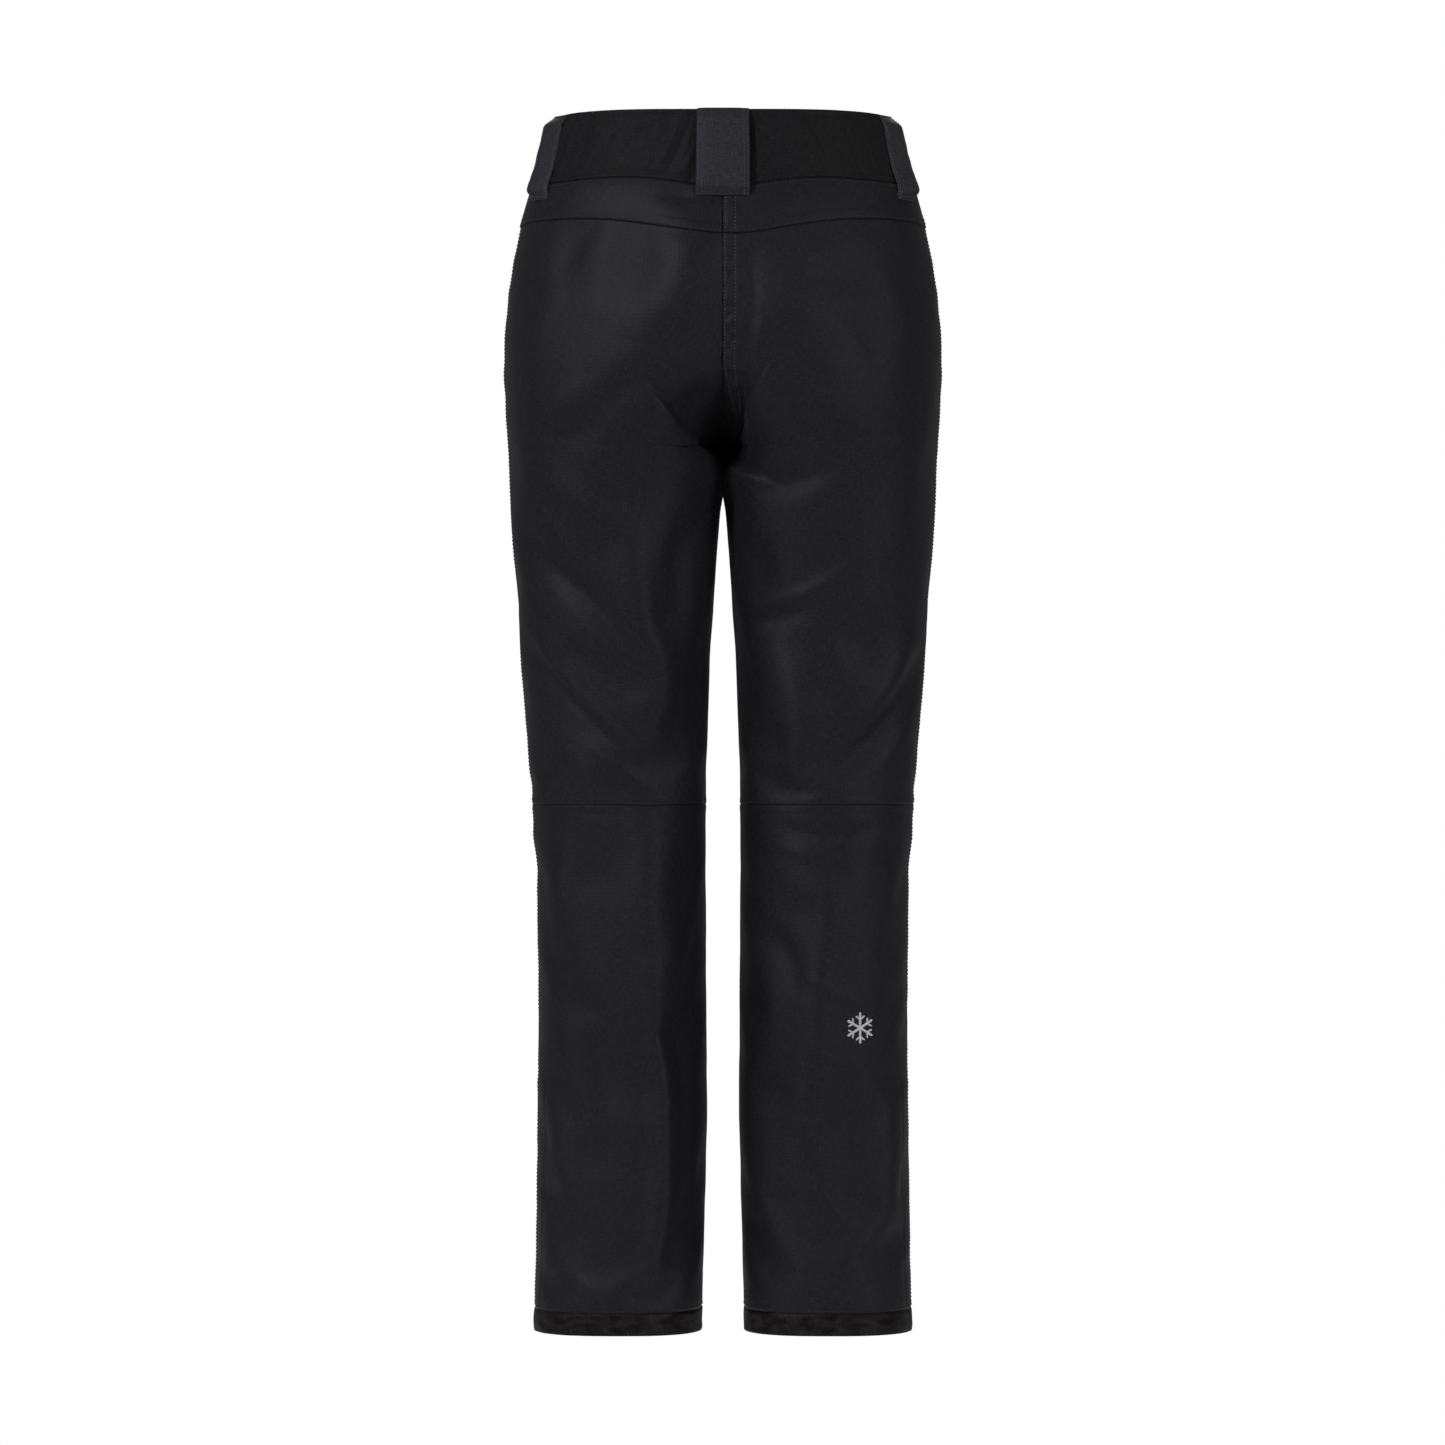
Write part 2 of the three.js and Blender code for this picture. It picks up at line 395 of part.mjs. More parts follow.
// ---------- embroidered snowflake on the back of the right calf ----------
{
  const R = 14, bar = (w, l) => block(w, l, 0.9);
  let flake = bar(2.6, 2 * R);
  for (const a of [60, 120]) flake = flake.add(bar(2.6, 2 * R).rotate([0, 0, a]));
  for (let a = 0; a < 360; a += 60)
    for (const b of [55, -55]) flake = flake.add(bar(1.9, 5.4).translate([0, 2.7, 0]).rotate([0, 0, b]).translate([0, R * 0.56, 0]).rotate([0, 0, a]));
  const u = uAt(118, 268), basis = frameAt(u, 268, -1), at = surface(u, 268, -0.9);
  at.x *= -1;
  const e = basis.elements;
  flake = flake.refineToLength(6).warp((v) => {
    const near = surface(uAt(Math.max(20, Math.min(150, 118 - v[0] * e[0])), 268 + v[1]), 268 + v[1], -0.85);
    near.x *= -1;
    const flat = new THREE.Vector3(at.x + e[0] * v[0], at.y + e[1] * v[0], at.z + v[1]);
    const drop = near.clone().sub(flat);
    const d = drop.x * e[8] + drop.y * e[9];
    v[2] += d;
  });
  add("calf_embroidery", placed(flake, basis, at), new THREE.MeshStandardMaterial({ color: new THREE.Color(0.55, 0.55, 0.56), roughness: 0.45, metalness: 0 }));
}
export const facts = report;
export default pants;
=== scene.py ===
import math

import bpy
import numpy as np
from mathutils import Matrix, Vector


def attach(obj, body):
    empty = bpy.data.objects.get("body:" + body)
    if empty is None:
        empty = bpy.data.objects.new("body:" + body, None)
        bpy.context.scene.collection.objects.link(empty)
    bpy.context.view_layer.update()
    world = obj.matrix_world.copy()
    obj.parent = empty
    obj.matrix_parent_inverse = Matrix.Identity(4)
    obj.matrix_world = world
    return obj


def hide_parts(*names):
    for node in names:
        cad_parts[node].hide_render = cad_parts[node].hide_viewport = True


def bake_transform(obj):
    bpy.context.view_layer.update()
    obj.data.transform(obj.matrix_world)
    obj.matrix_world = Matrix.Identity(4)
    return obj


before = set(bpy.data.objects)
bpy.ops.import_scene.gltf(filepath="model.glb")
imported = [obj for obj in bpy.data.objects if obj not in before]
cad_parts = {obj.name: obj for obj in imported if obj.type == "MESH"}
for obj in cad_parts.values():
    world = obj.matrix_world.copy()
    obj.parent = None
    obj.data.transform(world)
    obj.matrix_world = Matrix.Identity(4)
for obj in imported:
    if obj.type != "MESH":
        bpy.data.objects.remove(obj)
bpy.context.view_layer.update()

scene = bpy.context.scene
rng = np.random.default_rng(7)

# ------------------------------------------------------------------ sizes, mm, heights above the hem
ORIGIN = 1030.0
HEIGHT, CROTCH, KNEE_SEAM, HEM = 1062.0, 771.0, 460.0, 19.0
OUTER_X = [[0, 165.4], [5.8, 166.0], [23.5, 164.8], [58.8, 163.7], [128.8, 162.8], [199.8, 162], [269.8, 162], [340.3, 162.4], [375.8, 162.8], [410.8, 164], [445.8, 166.3], [480.8, 169], [516.3, 171.6], [551.8, 174], [586.8, 177], [621.8, 179.5], [656.8, 182], [692.3, 184.8], [727.5, 186.6], [749.8, 187.4], [775.8, 189], [801.8, 190.5], [828.8, 191.2], [854.8, 191.8], [881.8, 191], [894.8, 190], [907.8, 188.3], [920.8, 186], [934.3, 184], [947.8, 181.3], [960.8, 178.6], [973.8, 176], [986.8, 172.5], [1000.3, 168.3], [1005.8, 165.5], [1013.8, 161.5], [1026.8, 157], [1039.8, 152.8], [1052.8, 149], [1063.8, 145.5], [1071.8, 143]]
INNER_X = [[0, 18.9], [5.8, 18.9], [23.8, 18.5], [58.8, 17.6], [93.8, 16.7], [128.8, 15.4], [199.8, 14.2], [269.8, 14.5], [375.8, 15], [410.8, 15.4], [445.8, 15.4], [480.8, 15], [516.3, 14], [551.8, 12.8], [586.8, 11.4], [621.8, 8.9], [656.8, 7.0], [691.8, 4.4], [714.3, 2.6], [722.8, 1.8], [735.8, 1.2], [756.8, 0.8], [769.8, 0.5]]
BACK_Y = [[0, 84], [51.8, 83], [111.8, 82.5], [191.8, 83], [291.8, 83.5], [391.8, 83], [457.8, 85], [551.8, 91.5], [631.8, 99], [691.8, 106], [731.8, 112], [769.8, 120], [811.8, 131], [851.8, 137.5], [891.8, 139], [931.8, 135.5], [971.8, 127.5], [1003.8, 119], [1031.8, 113.5], [1071.8, 108]]
FRONT_Y = [[0, 84], [51.8, 82], [111.8, 80.5], [191.8, 79.5], [291.8, 80.5], [391.8, 83.5], [457.8, 86], [551.8, 91], [631.8, 95], [691.8, 97.5], [731.8, 99.5], [769.8, 101.5], [811.8, 103.5], [841.8, 104], [991.8, 100.4], [1003.8, 100], [1031.8, 98.5], [1071.8, 96.5]]
EXPONENT = [[0, 2.5], [120, 2.3], [400, 2.2], [700, 2.15], [900, 2.2], [1080, 2.25]]


def curve(table):
    t = np.array(table, float)
    x, y = t[:, 0], t[:, 1]
    d = np.diff(y) / np.diff(x)
    m = np.zeros(len(x))
    m[0], m[-1] = d[0], d[-1]
    for i in range(1, len(x) - 1):
        m[i] = 0 if d[i - 1] * d[i] <= 0 else 2 * d[i - 1] * d[i] / (d[i - 1] + d[i])

    def f(v):
        v = np.clip(np.asarray(v, float), x[0], x[-1])
        i = np.clip(np.searchsorted(x, v, side="right") - 1, 0, len(x) - 2)
        h = x[i + 1] - x[i]
        s = (v - x[i]) / h
        return y[i] * (2 * s**3 - 3 * s**2 + 1) + h * m[i] * (s**3 - 2 * s**2 + s) + y[i + 1] * (3 * s**2 - 2 * s**3) + h * m[i + 1] * (s**3 - s**2)

    return f


outer_x, inner_x, back_y, front_y, exponent = map(curve, (OUTER_X, INNER_X, BACK_Y, FRONT_Y, EXPONENT))

# ------------------------------------------------------------------ the smooth body of one leg, as a table over height and place round the section
DH, NU = 0.5, 400
H_TABLE = np.arange(0, HEIGHT + 3, DH)
U_TABLE = np.linspace(0, 1, NU + 1)


def make_table():
    out = np.zeros((len(H_TABLE), NU + 1, 2))
    lens = np.zeros((len(H_TABLE), 2))
    for i, h in enumerate(H_TABLE):
        xo, n = float(outer_x(h)), float(exponent(h))
        for k, back in enumerate((True, False)):
            if h >= CROTCH:
                t = max(0.0, 1 - (h - CROTCH) / (145 if back else 85)) ** (1.35 if back else 1.4)
                xi = 0.5 * t
                a = (xo - xi * t) / (1 + t)
                cx = xo - a
                rho = min(1.0, (cx - xi * (1 if t > 0.999 else 0)) / a)
            else:
                xi = float(inner_x(h))
                a, cx, rho = (xo - xi) / 2, (xo + xi) / 2, 1.0
            b = float(back_y(h)) if back else -float(front_y(h))
            end = math.pi if rho >= 1 else math.acos(-(rho ** (n / 2)))
            f = np.linspace(0, end, 161)
            c, s = np.cos(f), np.clip(np.sin(f), 0, None)
            p = np.stack([cx + a * np.sign(c) * np.abs(c) ** (2 / n), b * s ** (2 / n)], 1)
            seg = np.concatenate([[0], np.cumsum(np.linalg.norm(np.diff(p, axis=0), axis=1))])
            lens[i, k] = seg[-1]
            half = NU // 2
            if back:
                want = (1 - U_TABLE[: half + 1] / 0.5) * seg[-1]
                out[i, : half + 1, 0] = np.interp(want, seg, p[:, 0])
                out[i, : half + 1, 1] = np.interp(want, seg, p[:, 1])
            else:
                want = (U_TABLE[half:] - 0.5) / 0.5 * seg[-1]
                out[i, half:, 0] = np.interp(want, seg, p[:, 0])
                out[i, half:, 1] = np.interp(want, seg, p[:, 1])
    return out, lens


TABLE, LENS = make_table()


def base(u, h):
    """Smooth outer surface of the left leg, mm."""
    u, h = np.broadcast_arrays(np.asarray(u, float), np.asarray(h, float))
    fu = np.clip(u, 0, 1) * NU
    fh = np.clip(h / DH, 0, len(H_TABLE) - 1.001)
    iu = np.clip(fu.astype(int), 0, NU - 1)
    ih = fh.astype(int)
    a, b = (fu - iu)[..., None], (fh - ih)[..., None]
    xy = (TABLE[ih, iu] * (1 - a) + TABLE[ih, iu + 1] * a) * (1 - b) + (TABLE[ih + 1, iu] * (1 - a) + TABLE[ih + 1, iu + 1] * a) * b
    return np.concatenate([xy, h[..., None]], -1)


def half_length(u, h):
    h = np.asarray(h, float)
    back = np.interp(h, H_TABLE, LENS[:, 0])
    front = np.interp(h, H_TABLE, LENS[:, 1])
    return np.where(np.asarray(u) < 0.5, back, front)


def unit(v):
    return v / np.maximum(np.linalg.norm(v, axis=-1, keepdims=True), 1e-9)


def base_normal(u, h):
    du = 0.006
    u, h = np.broadcast_arrays(np.asarray(u, float), np.asarray(h, float))
    tu = base(np.clip(u + du, 0, 1), h) - base(np.clip(u - du, 0, 1), h)
    th = base(u, h + 2.0) - base(u, np.maximum(h - 2.0, 0))
    n = unit(np.cross(th, tu))
    seam = ((u <= 1e-6) | (u >= 1 - 1e-6)) & (h > CROTCH)
    n[..., 0] = np.where(seam, 0, n[..., 0])
    return unit(n)


def grid_faces(rows, cols, closed=False, flip=False, start=0):
    r = np.arange(rows - 1)[:, None]
    c = np.arange(cols if closed else cols - 1)[None, :]
    a = start + r * cols + c
    b = start + r * cols + (c + 1) % cols
    d = a + cols
    e = b + cols
    q = np.stack([a, d, e, b], -1).reshape(-1, 4)
    return q[:, ::-1] if flip else q


# ------------------------------------------------------------------ seam lines
def bell(u, at, w):
    return np.exp(-(((u - at) / w) ** 2))


def lerp(a, b, t):
    return a + (b - a) * t


def sstep(t):
    t = np.clip(t, 0, 1)
    return t * t * (3 - 2 * t)


def front_dip(u):
    return 20 * np.maximum(0, (u - 0.5) / 0.5) ** 1.6


def band_top(u):
    return HEIGHT - 1.5 * bell(u, 0, 0.2) - front_dip(u)


def band_bottom(u):
    return 1000 - 7 * bell(u, 0, 0.1) + 2.5 * bell(u, 0.2, 0.12) - front_dip(u)


def yoke_bottom(u):
    return 951 + 16.5 * (1 - bell(u, 0, 0.15)) - 2.5 * np.maximum(0, (u - 0.3) / 0.2) ** 2


# ------------------------------------------------------------------ noise
def vnoise(p, scale, seed=0):
    """Value noise in -1..1 over points in mm."""
    q = p / np.asarray(scale, float) + seed * 17.31
    i = np.floor(q).astype(np.int64)
    f = q - i
    f = f * f * (3 - 2 * f)
    out = np.zeros(q.shape[:-1])
    for dx in (0, 1):
        for dy in (0, 1):
            for dz in (0, 1):
                n = (i[..., 0] + dx) * 374761393 + (i[..., 1] + dy) * 668265263 + (i[..., 2] + dz) * 2147483647 + seed * 144665
                n = (n ^ (n >> 13)) * 1274126177
                n = n ^ (n >> 16)
                v = (n & 0xFFFF) / 32767.5 - 1
                w = (f[..., 0] if dx else 1 - f[..., 0]) * (f[..., 1] if dy else 1 - f[..., 1]) * (f[..., 2] if dz else 1 - f[..., 2])
                out += v * w
    return out


# ------------------------------------------------------------------ folds and wrinkles
K, PX, MID = 0.982, 0.8795, 539.6


def px(points):
    """Places on the back, given across and down the framed view, to x and height in mm."""
    p = np.array(points, float)
    return np.stack([-(p[:, 0] - 722) * PX * K, MID - 8.2 + ((1336 - p[:, 1]) * PX - MID) * K], 1)


def smooth_line(p, n=28):
    p = np.asarray(p, float)
    if len(p) == 2:
        t = np.linspace(0, 1, n)[:, None]
        return p[0] * (1 - t) + p[1] * t
    q = np.vstack([2 * p[0] - p[1], p, 2 * p[-1] - p[-2]])
    out = []
    per = max(2, n // (len(p) - 1))
    for i in range(len(p) - 1):
        a, b, c, d = q[i : i + 4]
        for t in np.arange(per) / per:
            out.append(0.5 * (2 * b + (c - a) * t + (2 * a - 5 * b + 4 * c - d) * t**2 + (3 * b - a - 3 * c + d) * t**3))
    out.append(p[-1])
    return np.array(out)


def to_line(q, line):
    """Distance, signed side (left of the line's run is positive) and place along the line for points q."""
    a, b = line[:-1], line[1:]
    best = np.full(len(q), 1e9)
    side = np.zeros(len(q))
    along = np.zeros(len(q))
    total = np.concatenate([[0], np.cumsum(np.linalg.norm(b - a, axis=1))])
    for i in range(len(a)):
        d = b[i] - a[i]
        l2 = (d @ d) or 1e-9
        t = np.clip(((q - a[i]) @ d) / l2, 0, 1)
        r = q - (a[i] + t[:, None] * d)
        dist = np.hypot(r[:, 0], r[:, 1])
        near = dist < best
        best = np.where(near, dist, best)
        cross = d[0] * r[:, 1] - d[1] * r[:, 0]
        side = np.where(near, np.sign(cross), side)
        along = np.where(near, (total[i] + t * np.sqrt(l2)) / total[-1], along)
    return best, side, along


# kind, line, height of the fold in mm, width in mm, how sharply it tapers at its ends
BACK_FOLDS = [
    # seat
    ("ridge", px([(686, 200), (682, 275), (670, 348)]), 3.2, 32, 0.9),
    ("ridge", px([(790, 240), (800, 300), (795, 350)]), 1.4, 30, 1.0),
    ("ridge", px([(560, 250), (545, 300), (532, 360), (528, 410)]), 1.6, 15, 1.0),
    ("ridge", px([(600, 222), (570, 250), (556, 290)]), -1.4, 13, 1.0),
    ("ridge", px([(748, 250), (752, 300), (749, 350), (745, 385)]), -1.6, 6, 0.8),
    ("ridge", px([(757, 300), (762, 350), (758, 380)]), 0.9, 5, 0.8),
    ("ridge", px([(706, 260), (704, 310), (700, 350)]), -0.8, 7, 0.8),
    ("ridge", px([(640, 375), (610, 400), (580, 430), (545, 450)]), -1.6, 14, 1.0),
    ("ridge", px([(590, 380), (560, 400), (535, 430)]), 0.9, 10, 1.0),
    ("ridge", px([(780, 372), (815, 400), (850, 425)]), 1.0, 12, 1.0),
    ("ridge", px([(760, 395), (790, 420), (830, 440), (870, 448)]), -1.2, 12, 1.0),
    ("ridge", px([(872, 260), (895, 300), (912, 350)]), 1.2, 12, 1.0),
    ("ridge", px([(850, 300), (870, 340), (880, 390)]), -0.9, 12, 1.0),
    # the hollow under the seat and the two folds that run into the crotch
    ("hollow", px([(706, 414), (726, 434)]), -13.0, 19, 1.0),
    ("hollow", px([(698, 396), (716, 416)]), -6.0, 22, 1.0),
    ("ridge", px([(730, 372), (731, 404), (731, 446)]), -5.0, 8, 0.45),
    ("lip", px([(634, 372), (650, 390), (666, 406), (680, 424), (692, 436), (708, 448), (731, 461)]), (3.8, 26, 7.5, 18), 0.45),
    ("lip", px([(728, 455), (733, 433), (740, 413), (751, 391), (766, 366), (776, 350)]), (3.0, 22, 6.5, 12), -0.55),
    ("ridge", px([(747, 326), (744, 350), (740, 385), (735, 418)]), -3.2, 4.5, 0.55),
    ("ridge", px([(756, 322), (753, 352), (748, 380)]), 1.4, 5, 0.7),
    ("ridge", px([(688, 408), (702, 419), (716, 421)]), 1.8, 3.4, 0.7),
    ("ridge", px([(692, 424), (706, 433), (721, 433)]), 1.7, 3.0, 0.7),
    ("ridge", px([(704, 391), (713, 408), (723, 415)]), 1.4, 3.0, 0.7),
    ("ridge", px([(680, 396), (690, 409), (700, 412)]), 1.0, 3.4, 0.7),
    # left thigh in view
    ("ridge", px([(620, 500), (632, 560), (640, 613), (652, 661), (655, 712), (652, 760)]), 2.0, 16, 0.9),
    ("ridge", px([(516, 520), (540, 556), (566, 580), (600, 612), (628, 660)]), -1.7, 11, 0.9),
    ("ridge", px([(514, 575), (528, 630), (552, 668), (587, 706), (620, 738), (652, 773)]), 1.3, 6, 0.8),
    ("ridge", px([(518, 596), (534, 648), (560, 686), (594, 722), (622, 752)]), -1.4, 6, 0.8),
    ("ridge", px([(580, 735), (602, 757), (625, 771), (650, 792)]), 0.9, 4.5, 0.8),
    ("ridge", px([(560, 640), (600, 670), (630, 700)]), -0.8, 9, 0.9),
    ("ridge", px([(690, 505), (678, 560), (684, 640)]), -1.3, 12, 0.9),
    ("ridge", px([(540, 470), (580, 500), (610, 540)]), 0.9, 14, 0.9),
    # right thigh in view
    ("ridge", px([(734, 614), (764, 602), (808, 590), (846, 565), (872, 545)]), 1.5, 7, 0.8),
    ("ridge", px([(738, 628), (775, 616), (815, 604)]), -1.0, 8, 0.8),
    ("ridge", px([(748, 494), (785, 482), (825, 466), (860, 462)]), -1.4, 12, 0.9),
    ("ridge", px([(770, 640), (790, 670), (800, 730), (790, 790)]), 1.4, 17, 0.9),
    ("ridge", px([(926, 640), (908, 690), (880, 730), (846, 764), (826, 778)]), -2.2, 9, 0.8),
    ("ridge", px([(920, 620), (890, 680), (862, 712), (836, 738)]), 1.3, 10, 0.9),
    ("ridge", px([(870, 600), (862, 640), (858, 680)]), -1.6, 20, 0.9),
    ("ridge", px([(914, 700), (896, 746), (870, 776)]), 1.1, 7, 0.8),
    ("ridge", px([(745, 530), (760, 560), (750, 600)]), -1.0, 12, 0.9),
    # left calf in view
    ("ridge", px([(650, 800), (648, 850), (644, 903), (654, 986), (660, 1030)]), 2.9, 22, 0.6),
    ("ridge", px([(646, 955), (654, 1050), (659, 1132), (656, 1236), (646, 1300)]), 3.8, 10, 0.6),
    ("ridge", px([(680, 980), (684, 1060), (682, 1160)]), -1.2, 10, 0.8),
    ("ridge", px([(590, 980), (600, 1060), (604, 1180)]), -1.2, 17, 0.8),
    ("ridge", px([(556, 830), (560, 900), (556, 960)]), 1.1, 14, 0.8),
    ("ridge", px([(546, 1080), (560, 1150), (566, 1240)]), 0.8, 12, 0.8),
    # right calf in view
    ("ridge", px([(774, 822), (800, 832), (842, 836), (880, 826)]), -1.2, 5, 0.8),
    ("ridge", px([(770, 842), (800, 852), (838, 856)]), 0.8, 6, 0.8),
    ("ridge", px([(780, 850), (804, 880), (827, 910), (818, 980), (808, 1090), (790, 1200)]), 1.8, 18, 0.8),
    ("ridge", px([(768, 925), (790, 960), (800, 1000)]), -1.0, 10, 0.8),
    ("ridge", px([(796, 972), (830, 990), (862, 1006)]), 0.8, 4, 0.7),
    ("ridge", px([(870, 950), (884, 975), (900, 988)]), 0.8, 4, 0.7),
    ("ridge", px([(850, 1060), (846, 1140), (850, 1230)]), -1.1, 16, 0.8),
    ("ridge", px([(746, 1180), (756, 1240), (770, 1290)]), -0.9, 9, 0.8),
    ("ridge", px([(884, 1080), (890, 1160), (886, 1250)]), 1.0, 12, 0.8),
]
# front: x and height in mm, the same on both legs apart from a small change of strength
FRONT_FOLDS = [
    ("ridge", [(30, 842), (70, 872), (120, 884), (160, 892)], -1.8, 8, 0.8),
    ("ridge", [(26, 824), (64, 850), (112, 862), (160, 866)], 1.4, 9, 0.8),
    ("ridge", [(22, 806), (60, 826), (108, 834), (150, 832)], -1.5, 9, 0.8),
    ("ridge", [(18, 786), (52, 800), (96, 804)], 1.2, 8, 0.8),
    ("ridge", [(40, 905), (80, 925), (120, 930)], -0.8, 9, 0.9),
    ("ridge", [(90, 760), (96, 690), (94, 600), (92, 520)], 1.7, 24, 0.9),
    ("ridge", [(150, 740), (140, 660), (130, 590)], -1.2, 14, 0.9),
    ("ridge", [(28, 700), (44, 640), (52, 580)], -1.2, 12, 0.9),
    ("ridge", [(40, 500), (80, 478), (130, 486)], -1.6, 9, 0.8),
    ("ridge", [(36, 470), (84, 440), (140, 452)], 1.6, 12, 0.8),
    ("ridge", [(40, 420), (86, 404), (136, 414)], -1.5, 9, 0.8),
    ("ridge", [(50, 390), (90, 376), (130, 382)], 1.0, 8, 0.8),
    ("ridge", [(92, 360), (88, 260), (94, 150), (90, 40)], 1.6, 22, 0.9),
    ("ridge", [(130, 330), (124, 230), (130, 120)], -1.1, 14, 0.9),
    ("ridge", [(46, 330), (52, 220), (46, 100)], -1.1, 13, 0.9),
]


# sides: distance forward of the side seam and height in mm
SIDE_FOLDS = [
    ("ridge", [(-30, 905), (0, 890), (34, 860)], -1.1, 10, 0.9),
    ("ridge", [(-34, 840), (4, 832), (40, 812)], 1.0, 10, 0.9),
    ("ridge", [(-40, 700), (-6, 640), (20, 560)], -1.2, 13, 0.9),
    ("ridge", [(30, 700), (18, 620), (-10, 520)], 1.1, 12, 0.9),
    ("ridge", [(-36, 486), (0, 474), (36, 482)], -1.3, 9, 0.8),
    ("ridge", [(-36, 446), (0, 430), (36, 442)], 1.3, 10, 0.8),
    ("ridge", [(-30, 414), (4, 400), (34, 410)], -1.0, 9, 0.8),
    ("ridge", [(-20, 330), (-12, 240), (-22, 240)], -0.9, 12, 0.9),
    ("ridge", [(24, 300), (18, 200), (26, 90)], 1.0, 13, 0.9),
]


def fold_height(folds, x, h):
    q = np.stack([x.ravel(), h.ravel()], 1)
    out = np.zeros(len(q))
    for kind, line, amount, *rest in folds:
        width, power = (0, rest[0]) if kind == "lip" else rest
        line = smooth_line(line)
        reach = 2.6 * (max(amount[1], amount[3]) if kind == "lip" else width)
        lo, hi = line.min(0) - reach, line.max(0) + reach
        sel = np.where(((q >= lo) & (q <= hi)).all(1))[0]
        if not len(sel):
            continue
        d, s, t = to_line(q[sel], line)
        taper = np.clip(np.sin(np.pi * np.clip(t, 0.0, 1.0)), 0, 1) ** abs(power)
        if kind == "ridge":
            out[sel] += amount * (1 + 1.7 * min(1, max(0, (width - 7) / 9))) * np.exp(-((d / width) ** 2)) * taper
        elif kind == "hollow":
            out[sel] += amount * np.exp(-((d / width) ** 2))
        else:  # a lip: cloth on one side of the line stands over the cloth on the other
            up, up_w, deep, deep_w = amount
            over = up * np.exp(-((d / up_w) ** 2))
            under = -deep * np.exp(-((d / deep_w) ** 1.6))
            ends = sstep(t / power) if power > 0 else sstep((1 - t) / -power)
            out[sel] += lerp(under, over, sstep((s * d + 1.3) / 2.6)) * ends
    return out.reshape(x.shape)


def seam_profile(d, groove=1.0, gw=1.5, ridge=0.55, rw=8.0):
    """Cloth near a seam: it turns down into the seam and lies a little thick over the allowance."""
    return -groove * np.exp(-((d / gw) ** 2)) + ridge * sstep((rw + 2.5 - d) / 5.0)


# the drape of each leg, over height and place round the section: folds, softness and what the cloth simulation adds
MH, MU = 1.5, 340
M_H = np.arange(0, HEIGHT + 3, MH)
M_U = np.linspace(0, 1, MU + 1)
DRAPE = {}


def fold_field(u, h, side):
    """How far the folds stand off the smooth body, mm, outwards."""
    p = base(u, h)
    n = base_normal(u, h)
    x = p[..., 0] * side
    facing = np.clip(n[..., 1] * 1.25, 0, 1) ** 0.8
    facing_front = np.clip(-n[..., 1] * 1.25, 0, 1) ** 0.8
    under_band = sstep((band_bottom(u) - h) / 14)
    d = fold_height(BACK_FOLDS, x, h) * facing * lerp(1.8, 1.0, sstep((h - 740) / 60))
    front = [(k, [(a * side, b) for a, b in line], amt * (1.0 if side > 0 else 0.85), w, pw) for k, line, amt, w, pw in FRONT_FOLDS]
    d = d + fold_height(front, x, h) * facing_front * 1.0
    d = d + 0.6 * fold_height(SIDE_FOLDS, half_arc(u, h), h) * np.clip(1.2 - np.abs(n[..., 1]) * 1.5, 0, 1) * (1.0 if side > 0 else 0.8)
    q = np.stack([x, p[..., 1], h], -1)
    calm = 0.35 + 0.65 * np.clip(np.abs(n[..., 1]) * 1.6, 0, 1)
    soft = 0.9 * vnoise(q, (55, 55, 80), 1) + 0.45 * vnoise(q, (26, 26, 34), 2) + 0.16 * vnoise(q, (11, 11, 14), 3)
    return (d + soft * calm * 0.8) * under_band


def half_arc(u, h):
    """Distance from the side seam round the section, mm, positive towards the front."""
    return (np.asarray(u) - 0.5) / 0.5 * half_length(u, h)


def spline_rows(x, n):
    """Weights that read a row of n values at places x (0..n-1) with a smooth curve."""
    i = np.clip(np.floor(x).astype(int), 0, n - 2)
    t = x - i
    w = [((1 - t) ** 3) / 6, (3 * t**3 - 6 * t**2 + 4) / 6, (-3 * t**3 + 3 * t**2 + 3 * t + 1) / 6, t**3 / 6]
    A = np.zeros((len(x), n))
    for k in range(4):
        np.add.at(A, (np.arange(len(x)), np.clip(i - 1 + k, 0, n - 1)), w[k])
    return A


def calm_near_zips(u, h):
    """0 on the cloth under a zip, 1 away from it."""
    out = np.ones(np.broadcast(u, h).shape)
    for u0, h0, u1, h1 in ((0.61, 214, 0.61, 20), (0.66, 974, 0.585, 878), (1.0, 982, 1.0, 870)):
        L = half_length(np.full_like(out, 0.9), h)
        q = np.stack([(u - 0.5) / 0.5 * L, np.broadcast_to(h, out.shape)], -1)
        a = np.stack([(u0 - 0.5) / 0.5 * L, np.full_like(out, h0)], -1)
        b = np.stack([(u1 - 0.5) / 0.5 * L, np.full_like(out, h1)], -1)
        ab = b - a
        t = np.clip(((q - a) * ab).sum(-1) / (ab * ab).sum(-1), 0, 1)
        d = np.linalg.norm(q - a - t[..., None] * ab, axis=-1)
        out = np.minimum(out, sstep((d - 10) / 22))
    return out


SIM_U, SIM_S = 61, 131


